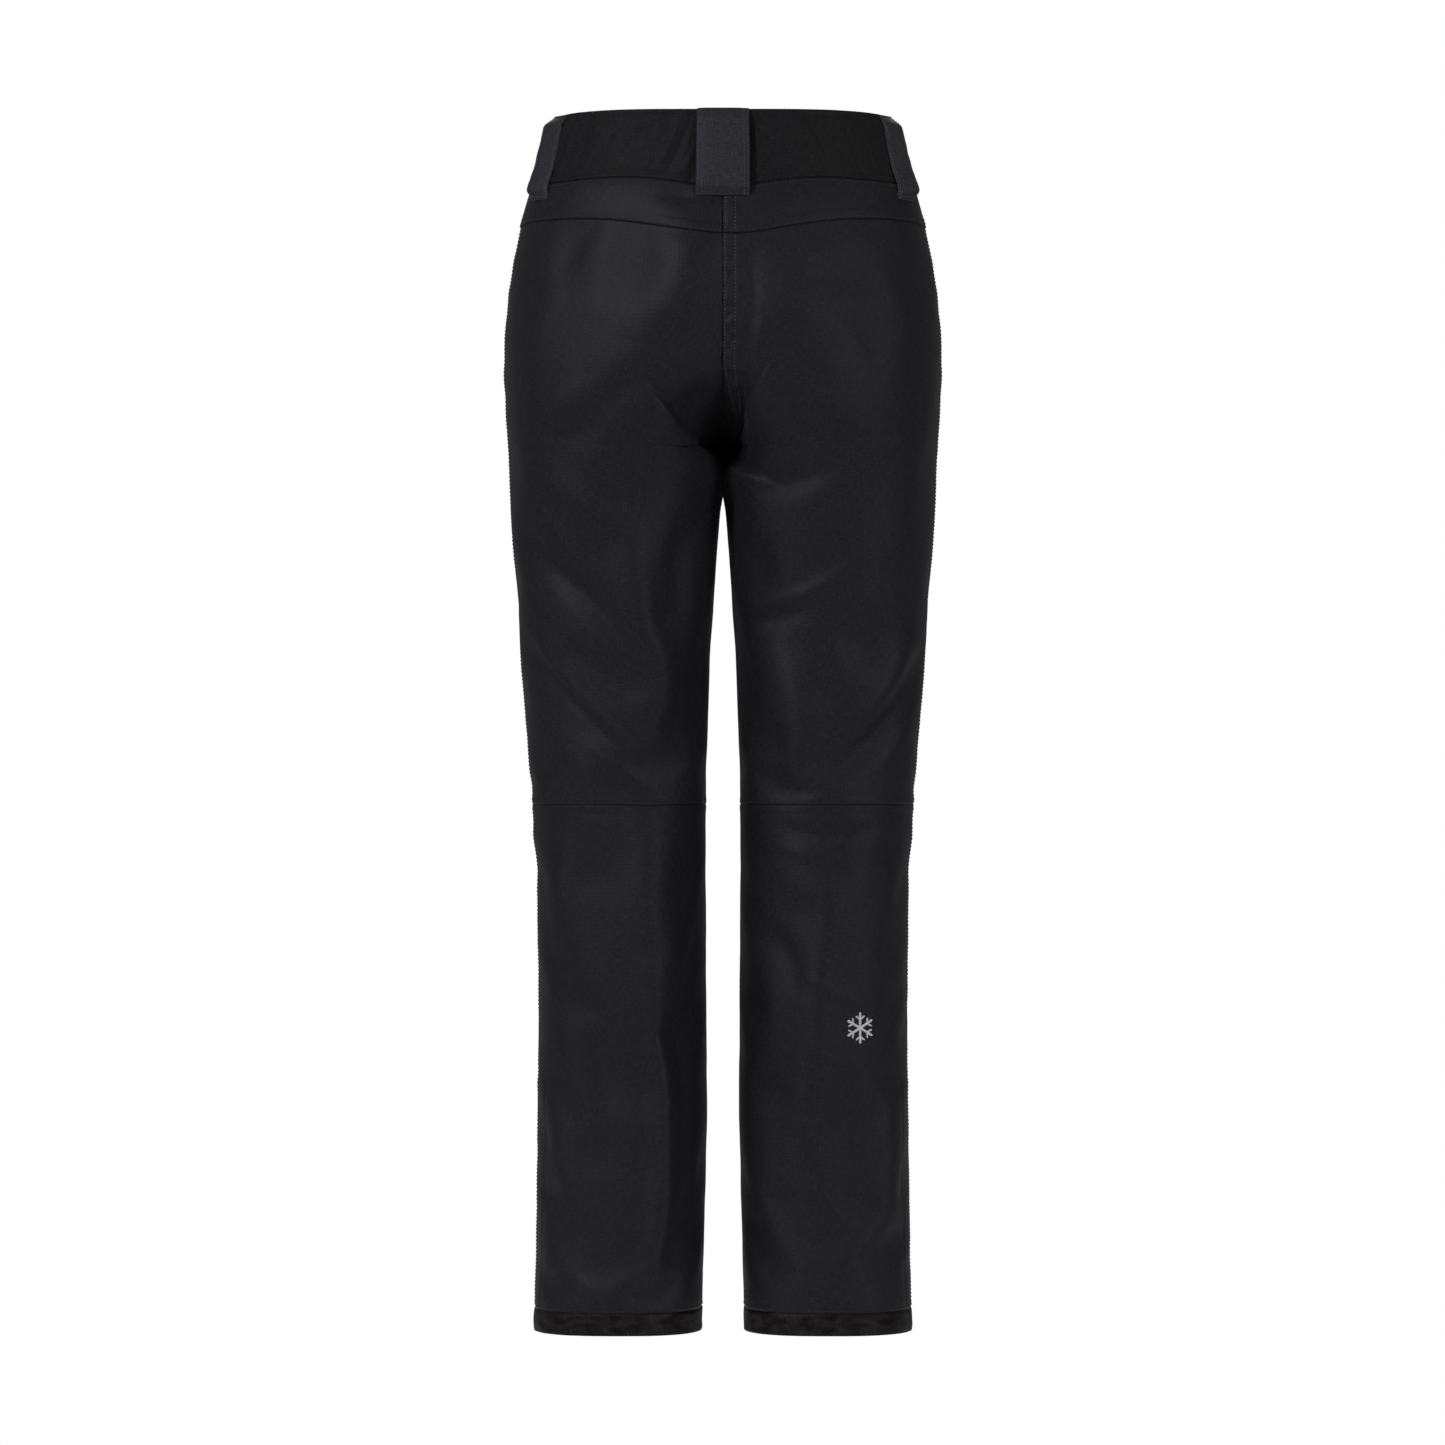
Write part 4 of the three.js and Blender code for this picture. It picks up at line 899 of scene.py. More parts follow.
# ------------------------------------------------------------------ shell panels
const = lambda v: (lambda u: np.asarray(u, float) * 0 + v)
G = 0.1
for hand, side in HANDS:
    yoke = cloth_piece("yoke_" + hand, side, 0, 0.5, lambda u: band_bottom(u) - G, lambda u: yoke_bottom(u) + G, M["yoke"], coarse=2.4)
    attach(yoke, "pelvis"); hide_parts("back_yoke_" + hand); cut_cloth(yoke)
    back = cloth_piece("seat_and_thigh_back_" + hand, side, 0, 0.5, lambda u: yoke_bottom(u) - G, const(KNEE_SEAM + G), M["shell"], crotch=True)
    bend_hip(back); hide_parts("seat_panel_" + hand, "thigh_panel_back_" + hand, "hip_crease_" + hand); cut_cloth(back)
    front = cloth_piece("hip_and_thigh_front_" + hand, side, 0.5, 1, lambda u: band_bottom(u) - G, const(KNEE_SEAM + G), M["shell"], crotch=True)
    bend_hip(front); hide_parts("hip_panel_front_" + hand, "thigh_panel_front_" + hand, "hip_crease_" + hand); cut_cloth(front)
    low_b = cloth_piece("lower_leg_back_" + hand, side, 0, 0.5, const(KNEE_SEAM - G), const(HEM + G), M["lower"])
    bend_knee(low_b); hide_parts("knee_bend_" + hand, "shin_panel_back_" + hand); cut_cloth(low_b)
    low_f = cloth_piece("lower_leg_front_" + hand, side, 0.5, 1, const(KNEE_SEAM - G), const(HEM + G), M["lower"])
    bend_knee(low_f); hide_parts("knee_bend_" + hand, "shin_panel_front_" + hand); cut_cloth(low_f)


# ------------------------------------------------------------------ a double-sided ring or strip built from outer points and thickness
def double_layer(name, U, Hh, side, thickness, material, closed, skin_of=skin, out=0.0, uv_scale=1.0, lip=0.6):
    """Two layers joined along rounded edges at top and bottom (and at the sides when open)."""
    P = skin_of(U, Hh, side, out)
    N = base_normal(U, Hh)
    N[..., 0] *= side
    up = np.zeros_like(P); up[..., 2] = 1.0
    rings = [P]
    inner = P - N * thickness
    r = thickness / 2
    top = [P[0] - N[0] * (r - r * math.cos(a)) + up[0] * r * math.sin(a) * lip for a in np.linspace(0, math.pi, 7)[1:-1]]
    bot = [P[-1] - N[-1] * (r - r * math.cos(a)) - up[-1] * r * math.sin(a) * lip for a in np.linspace(0, math.pi, 7)[1:-1]]
    grid = np.concatenate([P, np.array(bot), inner[::-1], np.array(top)[::-1]], 0)
    R, C = grid.shape[:2]
    vid = np.arange(R * C).reshape(R, C)
    a = vid
    b = np.roll(vid, -1, 0)
    cc = np.roll(vid, -1, 1)
    d = np.roll(b, -1, 1)
    q = np.stack([a, b, d, cc], -1)
    q = q if closed else q[:, :-1]
    faces = q.reshape(-1, 4)
    faces = faces[:, ::-1] if side > 0 else faces
    faces = [tuple(f) for f in faces]
    if not closed:
        n = len(P)
        k = len(bot)
        for col in (0, C - 1):
            # cap the open side with a fan between matching rows
            o = [i for i in range(n)]
            inn = [n + k + (n - 1 - i) for i in range(n)]
            for i in range(n - 1):
                f = (vid[o[i], col], vid[o[i + 1], col], vid[inn[i + 1], col], vid[inn[i], col])
                faces.append(tuple(int(v) for v in (f if (col == 0) == (side < 0) else f[::-1])))
            fan_b = [vid[n - 1, col]] + [vid[n + j, col] for j in range(k)] + [vid[n + k, col]]
            fan_t = [vid[R - 1 - j, col] for j in range(k)][::-1]
            faces.append(tuple(int(v) for v in fan_b))
            faces.append(tuple(int(v) for v in ([vid[n + k + n - 1, col]] + fan_t + [vid[0, col]])))
    arc = (U - 0.5) / 0.5 * half_length(U, Hh)
    uv = np.stack([np.broadcast_to(arc[:1], (R, C)), np.broadcast_to(grid[..., 2], (R, C))], -1)
    return new_object(name, row(grid).reshape(-1, 3), faces, material, uv.reshape(-1, 2) / 1000.0 * uv_scale)


# ------------------------------------------------------------------ turned-up hems
def hem_skin(u, h, side, out=0.0):
    q = skin(u, h, side, out)
    return q


for hand, side in HANDS:
    cols = 300
    u = np.arange(cols) / cols
    hs = np.array([HEM - 0.2, HEM - 0.8, HEM - 1.6, HEM - 2.8, HEM - 4.5, HEM - 7, HEM - 9.5, HEM - 12, HEM - 14.5, HEM - 16.5, HEM - 17.8, HEM - 18.4])
    # the section runs from the inseam round the outside and back: u and 1-u meet at the inseam
    U, Hh = np.meshgrid(u, hs)

    def band_of(U_, H_, s_, out_):
        q = skin(U_, H_, s_, out_)
        p = np.stack([q[..., 0], q[..., 1], H_], -1)
        slub = vnoise(p, (6, 6, 3.5), 21) * 0.18 + vnoise(p, (17, 17, 9), 22) * 0.3
        n = base_normal(U_, H_); n[..., 0] *= s_
        wave = np.minimum(1, np.maximum(0, (HEM - H_) / 4))
        q = q + n * (slub * wave)[..., None]
        q[..., 2] -= 2.0 * (1 - np.abs(np.sin(np.pi * U_ / 0.5)) ** 0.6) * np.clip((HEM - H_) / 18.4, 0, 1)
        return q

    hem = double_layer("turned_hem_" + hand, U, Hh, side, 3.2, M["hem"], True, skin_of=band_of)
    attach(hem, "shin_" + hand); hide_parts("hem_band_" + hand)


# ------------------------------------------------------------------ waistband
def band_skin(u, h, side, out=0.0):
    p = base(u, h)
    n = base_normal(u, h)
    n = n * np.array([1, 1, 0]); n = unit(n)
    L = half_length(u, h)
    s = np.where(u < 0.5, (0.5 - u), (u - 0.5)) / 0.5 * L + np.where(u < 0.5, 0, 400) + side * 1000
    t = (band_top(u) - h) / (band_top(u) - band_bottom(u))
    back = sstep((0.49 - u) / 0.05) * sstep((u * L / 0.5 - 20) / 10)
    q = np.stack([s, s * 0, h], -1)
    ruche = 1.0 * vnoise(q, (9.5, 1, 60), 31) + 0.5 * vnoise(q, (5.0, 1, 38), 32) + 1.3 * vnoise(q, (26, 1, 30), 33)
    slope = np.stack([s - 0.6 * h, s * 0, h + 0.4 * s], -1)
    ruche = ruche + 0.8 * vnoise(slope, (21, 1, 46), 35) + 0.35 * vnoise(slope, (7, 1, 12), 36)
    env = np.clip(np.sin(np.pi * np.clip(t, 0, 1)), 0, 1) ** 0.6
    d = back * ruche * (0.25 + 0.75 * env)
    d = d + (1 - back) * (0.35 * vnoise(q, (26, 1, 30), 34))
    d = d + 0.9 * env * back
    # rows of stitching through the elastic
    for at in (0.09, 0.91):
        d = d - 0.8 * np.exp(-(((t - at) / 0.02) ** 2)) * (0.5 + 0.5 * back)
    r = p + n * (d + out)[..., None]
    seam = (u <= 1e-6) | (u >= 1 - 1e-6)
    r[..., 0] = np.where(seam, 0, r[..., 0]) * side
    return r


def band_piece(name, u_values, nodes, sides):
    """A length of waistband. Places round the waist run through the centre back for the back piece."""
    t = np.concatenate([[0, 0.012, 0.03], np.linspace(0.055, 0.945, 44), [0.97, 0.988, 1.0]])
    P, Nn, UV = [], [], []
    for uu, sd in zip(u_values, sides):
        U = np.full(len(t), uu)
        Hh = lerp(band_top(U) - 1.0, band_bottom(U) + 0.2, t)
        P.append(band_skin(U, Hh, sd)); n = base_normal(U, Hh) * np.array([sd, 1, 0]); Nn.append(unit(n))
        UV.append(np.stack([(U / 0.5 * half_length(U, Hh)) * sd, Hh], -1))
    P = np.stack(P, 1); Nn = np.stack(Nn, 1); UV = np.stack(UV, 1)
    r = 1.5
    up = np.array([0, 0, 1.0])
    top = np.array([P[0] - Nn[0] * (r - r * math.cos(a)) + up * r * math.sin(a) * 0.7 for a in np.linspace(0, math.pi, 7)[1:-1]])
    bot = np.array([P[-1] - Nn[-1] * (r - r * math.cos(a)) - up * r * math.sin(a) * 0.1 for a in np.linspace(0, math.pi, 5)[1:-1]])
    inner = P * 1.0 - Nn * 2 * r
    grid = np.concatenate([P, bot, inner[::-1], top[::-1]], 0)
    R, C = grid.shape[:2]
    vid = np.arange(R * C).reshape(R, C)
    a, b = vid[:, :-1], np.roll(vid, -1, 0)[:, :-1]
    c, d = vid[:, 1:], np.roll(vid, -1, 0)[:, 1:]
    faces = [tuple(int(x) for x in f) for f in np.stack([a, c, d, b], -1).reshape(-1, 4)]
    n = len(P); k = len(bot)
    for col in (0, C - 1):
        for i in range(n - 1):
            f = (vid[i, col], vid[i + 1, col], vid[n + k + n - 2 - i, col], vid[n + k + n - 1 - i, col])
            faces.append(tuple(int(v) for v in f))
        faces.append(tuple(int(v) for v in vid[n - 1 : n + k + 1, col]))
        faces.append(tuple(int(v) for v in np.concatenate([vid[n + k + n - 1 :, col], vid[:1, col]])))
    uv = np.concatenate([UV, np.repeat(UV[-1:], len(bot), 0), UV[::-1], np.repeat(UV[:1], len(top), 0)], 0)
    ob = new_object(name, row(grid).reshape(-1, 3), faces, M["band"], uv.reshape(-1, 2) / 1000)
    bpy.context.view_layer.objects.active = ob
    me = ob.data
    import bmesh
    bm = bmesh.new(); bm.from_mesh(me); bmesh.ops.recalc_face_normals(bm, faces=bm.faces); bm.to_mesh(me); bm.free()
    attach(ob, "pelvis"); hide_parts(*nodes)
    return ob


ub = np.linspace(0.4997, 0.0, 150)
band_back = band_piece("waistband_elastic_back", list(ub) + list(ub[::-1][1:]), ["waistband_back"], [1] * len(ub) + [-1] * (len(ub) - 1))
uf = np.linspace(0.5003, 0.9995, 110)
for hand, side in HANDS:
    band_piece("waistband_flat_front_" + hand, list(uf), ["waistband_front_" + hand], [side] * len(uf))


# ------------------------------------------------------------------ stitches
def capsule_template(n=6):
    """A short thread lying along x, sunk at both ends, unit length and unit radius."""
    xs = np.array([-0.5, -0.42, -0.2, 0.2, 0.42, 0.5])
    rr = np.array([0.25, 0.75, 1.0, 1.0, 0.75, 0.25])
    dip = np.array([-0.9, -0.3, 0.25, 0.25, -0.3, -0.9])
    ang = np.arange(n) / n * 2 * math.pi
    v = np.array([[x, math.cos(a) * r, math.sin(a) * r + d] for x, r, d in zip(xs, rr, dip) for a in ang])
    f = [[i * n + j, (i + 1) * n + j, (i + 1) * n + (j + 1) % n, i * n + (j + 1) % n] for i in range(len(xs) - 1) for j in range(n)]
    return v, np.array(f), n, len(xs)


CAP_V, CAP_F, CAP_N, CAP_R = capsule_template()


def stitch_row(points, normals, pitch=3.3, length=2.3, radius=0.42):
    """Places of stitches along a line of points in mm."""
    p = np.asarray(points)
    seg = np.linalg.norm(np.diff(p, axis=0), axis=1)
    s = np.concatenate([[0], np.cumsum(seg)])
    at = np.arange(pitch * 0.5, s[-1], pitch)
    mid = np.stack([np.interp(at, s, p[:, k]) for k in range(3)], 1)
    nrm = unit(np.stack([np.interp(at, s, normals[:, k]) for k in range(3)], 1))
    ahead = np.stack([np.interp(np.minimum(at + 1.0, s[-1]), s, p[:, k]) for k in range(3)], 1)
    behind = np.stack([np.interp(np.maximum(at - 1.0, 0), s, p[:, k]) for k in range(3)], 1)
    tan = unit(ahead - behind)
    nrm = unit(nrm - tan * (nrm * tan).sum(1, keepdims=True))
    bit = np.cross(nrm, tan)
    return mid, tan, bit, nrm, length, radius


def stitches(name, rows_, material):
    V, F = [], []
    base_i = 0
    for mid, tan, bit, nrm, length, radius in rows_:
        for m, t, b, n in zip(mid, tan, bit, nrm):
            v = m + CAP_V[:, :1] * length * t + CAP_V[:, 1:2] * radius * 1.15 * b + (CAP_V[:, 2:3] * radius * 0.8 + 0.06) * n
            V.append(v); F.append(CAP_F + base_i); base_i += len(CAP_V)
    V = np.concatenate(V); F = np.concatenate(F)
    return new_object(name, row(V), F, material)


def line_on_skin(us, hs, side):
    us, hs = np.broadcast_arrays(np.asarray(us, float), np.asarray(hs, float))
    p, n, _, _ = skin_frame(us, hs, side)
    return p, n


for hand, side in HANDS:
    pelvis_rows, upper_rows, lower_rows, fell_yoke, fell_seat = [], [], [], [], []
    uu = np.linspace(0.004, 0.497, 300)
    # yoke seam: a row above it
    for off in (2.0,):
        pelvis_rows.append(stitch_row(*line_on_skin(uu, yoke_bottom(uu) + off, side)))
    # centre back seam: two rows beside it
    for off in (1.8, 10.6) if side < 0 else ():
        hb = np.linspace(949, 792, 300)
        fell_seat.append(stitch_row(*line_on_skin(off / half_length(0.1, hb) * 0.5, hb, side), pitch=3.2, length=2.3, radius=0.56))
        hy = np.linspace(984, 953, 60)
        fell_yoke.append(stitch_row(*line_on_skin(off / half_length(0.1, hy) * 0.5, hy, side), pitch=3.2, length=2.3, radius=0.56))
    # side seam: one row on the front panel
    hs_ = np.linspace(978, KNEE_SEAM + 3, 420)
    upper_rows.append(stitch_row(*line_on_skin(0.5 - 2.6 / half_length(0.1, hs_) * 0.5, hs_, side)))
    hl = np.linspace(KNEE_SEAM - 3, HEM + 3, 360)
    lower_rows.append(stitch_row(*line_on_skin(0.5 - 2.6 / half_length(0.1, hl) * 0.5, hl, side)))
    # ankle facing
    hf_ = np.linspace(216, HEM + 2, 200)
    lower_rows.append(stitch_row(*line_on_skin(0.5 - 37.6 / half_length(0.1, hf_) * 0.5, hf_, side)))
    uf_ = np.linspace(0.5 - 37.6 / 470, 0.494, 40)
    lower_rows.append(stitch_row(*line_on_skin(uf_, uf_ * 0 + 216, side)))
    # knee seam and hem, in a darker thread
    ua = np.linspace(0.003, 0.997, 420)
    sk_ = stitches("knee_seam_stitching_" + hand, [stitch_row(*line_on_skin(ua, ua * 0 + KNEE_SEAM + 2.0, side))], M["stitch_dark"])
    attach(sk_, "thigh_" + hand)
    sh_ = stitches("hem_stitching_" + hand, [stitch_row(*line_on_skin(ua, ua * 0 + HEM + 2.4, side), pitch=3.0)], M["stitch_dark"])
    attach(sh_, "shin_" + hand)
    # centre front seam below the fly
    hf = np.linspace(868, 800, 70)
    for off in (2.4, 8.0):
        upper_rows.append(stitch_row(*line_on_skin(1 - off / half_length(0.9, hf) * 0.5, hf, side)))
    # under the waistband, front and back
    uw = np.linspace(0.004, 0.996, 500)
    pelvis_upper = stitch_row(*line_on_skin(uw[uw < 0.5], band_bottom(uw[uw < 0.5]) - 3.0, side))
    pelvis_rows.append(pelvis_upper)
    upper_rows.append(stitch_row(*line_on_skin(uw[uw > 0.5], band_bottom(uw[uw > 0.5]) - 3.0, side)))
    if side < 0:
        f1 = stitches("centre_back_stitching_yoke", fell_yoke, M["stitch_seam"]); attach(f1, "pelvis")
        f2 = stitches("centre_back_stitching_seat", fell_seat, M["stitch_seam"]); bend_hip(f2)
    s1 = stitches("yoke_topstitching_" + hand, pelvis_rows, M["stitch"]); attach(s1, "pelvis")
    s2 = stitches("upper_topstitching_" + hand, upper_rows, M["stitch"]); bend_hip(s2)
    s3 = stitches("lower_topstitching_" + hand, lower_rows, M["stitch"]); bend_knee(s3)

# ------------------------------------------------------------------ quilted lining
def lining_skin(inward, channel):
    def f(u, h, side, out=0.0):
        p = base(u, h)
        n = base_normal(u, h)
        L = half_length(u, h)
        s = np.where(u < 0.5, u / 0.5 * L, (1 - u) / 0.5 * L)
        rows_ = np.abs(np.sin(np.pi * h / channel))
        puff = 1.5 * rows_**0.55
        q = np.stack([s + side * 500, s * 0, h], -1)
        puff = puff + 0.4 * vnoise(q, (9, 1, 20), 41) * rows_ + 0.5 * vnoise(q, (40, 1, 60), 42)
        d = -(inward + 1.6) + 0 * h
        r = p + drape(u, h, side) + n * (d + 1.0 - puff)[..., None]
        seam = ((u <= 1e-6) | (u >= 1 - 1e-6)) & (h > CROTCH)
        r[..., 0] = np.where(seam, 0.0, np.maximum(r[..., 0], 0.0)) * side
        return r
    return f


for hand, side in HANDS:
    # both halves of the leg lining, sewn into the waistband above and the hem below
    sk = lining_skin(4.4, 46.0)
    up = cloth_piece("quilted_lining_upper_" + hand, side, 0, 1, lambda u: band_bottom(u) + 3, const(KNEE_SEAM + 0.2), M["lining"], coarse=4.2, fine=3.0, reach=6, crotch=True, skin_of=sk, turn=0.8, offset=1.0)
    bend_hip(up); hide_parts("seat_lining_" + hand, "thigh_lining_" + hand)
    lo = cloth_piece("quilted_lining_lower_" + hand, side, 0, 1, const(KNEE_SEAM - 0.2), const(HEM + 6), M["lining"], coarse=4.2, fine=3.0, reach=6, skin_of=sk, turn=0.8, offset=1.0)
    bend_knee(lo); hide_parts("shin_lining_" + hand)

# ------------------------------------------------------------------ snow gaiters
def gaiter_skin(u, h, side, out=0.0):
    p = base(u, h)
    n = base_normal(u, h)
    L = half_length(u, h)
    s = np.where(u < 0.5, (0.5 - u), (u - 0.5) + 2) / 0.5 * L
    inward = lerp(19.6, 9.0, np.clip((h - 36) / 190, 0, 1))
    tight = np.clip((60 - h) / 40, 0, 1)
    q = np.stack([s + side * 900, s * 0, h], -1)
    gather = tight * 1.1 * vnoise(q, (5.5, 1, 60), 51) + (1 - tight) * 0.9 * vnoise(q, (22, 1, 40), 52)
    r = p - n * (inward - out + gather)[..., None]
    r[..., 0] *= side
    return r


def ring(name, side, hs, cols, skin_of, material):
    u = np.arange(cols) / cols
    U, Hh = np.meshgrid(u, hs)
    P = skin_of(U, Hh, side)
    arc = np.broadcast_to((u * 2 * 240)[None, :], U.shape)
    uv = np.stack([arc, Hh], -1)
    ob = new_object(name, row(P).reshape(-1, 3), grid_faces(len(hs), cols, closed=True, flip=side > 0), material, uv.reshape(-1, 2) / 1000)
    Q = np.concatenate([P, P[:, :1]], 1)
    e1 = np.linalg.norm(np.diff(Q, axis=0), axis=-1)
    e2 = np.linalg.norm(np.diff(Q, axis=1), axis=-1)
    ob["area_m2"] = float((0.5 * (e1[:, 1:] + e1[:, :-1]) * 0.5 * (e2[1:] + e2[:-1])).sum() / 1e6)
    ob["flat_w"], ob["flat_l"] = float(e2.sum(1).max() / 1000), float(e1.sum(0).max() / 1000)
    return thicken(ob, 0.35)


for hand, side in HANDS:
    g = ring("snow_gaiter_sleeve_" + hand, side, np.concatenate([np.arange(229, 60, -4.0), np.arange(60, 20, -1.8)]), 220, gaiter_skin, M["gaiter"])
    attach(g, "shin_" + hand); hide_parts("snow_gaiter_" + hand); cut_cloth(g)
    cols = 240
    U, Hh = np.meshgrid(np.arange(cols) / cols, np.array([34.0, 32, 30, 28, 26, 24, 22.5]))
    e = double_layer("gaiter_elastic_" + hand, U, Hh, side, 1.6, M["elastic"], True, skin_of=lambda a, b, c, d=0.0: gaiter_skin(a, b, c, -0.9))
    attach(e, "shin_" + hand)


# ------------------------------------------------------------------ belt loops
def strip_mesh(name, centre, across, outward, width, thickness, material, bow=0.0, round_=0.55, cols=25, edge_roll=0.5):
    """A folded strip of cloth along a line of centres: flat inside, slightly crowned outside, rounded edges."""
    n = len(centre)
    c = np.linspace(-1, 1, cols)
    top = []
    for k in c:
        crown = thickness * (1 - round_ * abs(k) ** 10) + bow * (1 - k * k)
        # double rows of stitching press two grooves into the strip
        for g_ in (0.80,):
            crown = crown - 0.35 * math.exp(-(((abs(k) - g_) / 0.05) ** 2))
        top.append(crown)
    V = []
    uv = []
    s = np.concatenate([[0], np.cumsum(np.linalg.norm(np.diff(centre, axis=0), axis=1))])
    w = width if hasattr(width, "__len__") else [width] * n
    w = np.asarray(w, float)
    w = w + 0.55 * vnoise(np.stack([s, s * 0, s * 0], -1), (5.5, 1, 1), 63)
    wobble = (0.28 + 0.3 * np.abs(c[None]) ** 3) * vnoise(np.stack(np.broadcast_arrays(s[:, None], c[None] * w[:, None] / 2, 3.0), -1), (9, 9, 9), 61)
    for i in range(n):
        ring_ = []
        for j, (k, t) in enumerate(zip(c, top)):
            ring_.append(centre[i] + across[i] * k * w[i] / 2 + outward[i] * (t + wobble[i, j]))
        for k in c[::-1]:
            ring_.append(centre[i] + across[i] * k * (w[i] / 2 - 0.15) + outward[i] * 0.0)
        V.append(ring_)
        uv.append([[k * w[i] / 2, s[i]] for k in c] + [[k * w[i] / 2, s[i]] for k in c[::-1]])
    V = np.array(V); uv = np.array(uv)
    R, C = V.shape[:2]
    faces = [tuple(int(x) for x in f) for f in grid_faces(R, C, closed=True)]
    faces.append(tuple(range(C))[::-1]); faces.append(tuple((R - 1) * C + i for i in range(C)))
    ob = new_object(name, row(V).reshape(-1, 3), faces, material, uv.reshape(-1, 2) / 1000)
    import bmesh
    bm = bmesh.new(); bm.from_mesh(ob.data); bmesh.ops.recalc_face_normals(bm, faces=bm.faces); bm.to_mesh(ob.data); bm.free()
    return ob


def belt_loop(name, node, side, u, width, z_top, z_bottom, off, flare=0.0, facing=0.0):
    n = 64
    t = np.linspace(0, 1, n)
    z = lerp(z_top, z_bottom, t)
    u = lerp(u[0], u[1], t) if isinstance(u, tuple) else np.full(n, float(u))
    end = np.minimum(t, 1 - t) / 0.13
    rise = sstep(end)
    stand = lerp(1.0, off, rise) - 0.2
    P = base(u, z); N = base_normal(u, z) * np.array([1, 1, 0]); N = unit(N)
    if u[0] < 1e-6:
        N = np.tile([0, 1.0, 0], (n, 1))
    P = P * np.array([side, 1, 1]); N = N * np.array([side, 1, 1])
    centre = P + N * stand[:, None]
    if facing:
        # the strip stands a little towards the back, away from the curve of the waist
        T = np.cross(np.tile([0, 0, 1.0], (n, 1)), N)
        T = np.where(T[:, 1:2] < 0, -T, T)
        phi = math.radians(facing) * (0.35 + 0.65 * rise)
        N = unit(N * np.cos(phi)[:, None] + T * np.sin(phi)[:, None])
    A = unit(np.cross(np.tile([0, 0, 1.0], (n, 1)), N))
    dC = np.gradient(centre, axis=0)
    out = unit(np.cross(unit(dC), A)); out = np.where((out * N).sum(1, keepdims=True) < 0, -out, out)
    w = width + flare * t
    ob = strip_mesh(name, centre, A, out, w, 1.5, M["loop"], bow=0.5 if width > 30 else 0.2)
    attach(ob, "pelvis"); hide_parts(node)
    rows_ = []
    for k in (-0.80, 0.80):
        line = centre + A * (k * w / 2)[:, None] + out * 1.35
        keep = (t > 0.02) & (t < 0.985)
        rows_.append(stitch_row(line[keep], out[keep], pitch=3.0, length=2.1, radius=0.42))
    for tt in (0.965, 0.035):
        i = int(tt * (n - 1))
        k = np.linspace(-0.8, 0.8, 30)
        line = centre[i] + A[i] * (k * w[i] / 2)[:, None] + out[i] * 1.45
        rows_.append(stitch_row(line, np.tile(out[i], (30, 1)), pitch=2.6, length=1.9, radius=0.32))
    st = stitches(name + "_stitching", rows_, M["stitch_light"]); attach(st, "pelvis")
    return ob


belt_loop("centre_back_loop", "belt_loop_centre_back", 1, 0.0, 45.0, 1060.6, 984.5, 6.6, flare=1.5)
for hand, side in HANDS:
    belt_loop("side_back_loop_" + hand, "belt_loop_back_" + hand, side, (0.408, 0.374), 22.0, 1060.5, 986.0, 6.2, facing=27.0)
    belt_loop("front_loop_" + hand, "belt_loop_front_" + hand, side, 0.8, 17.0, 1051.5, 980.0, 6.4)


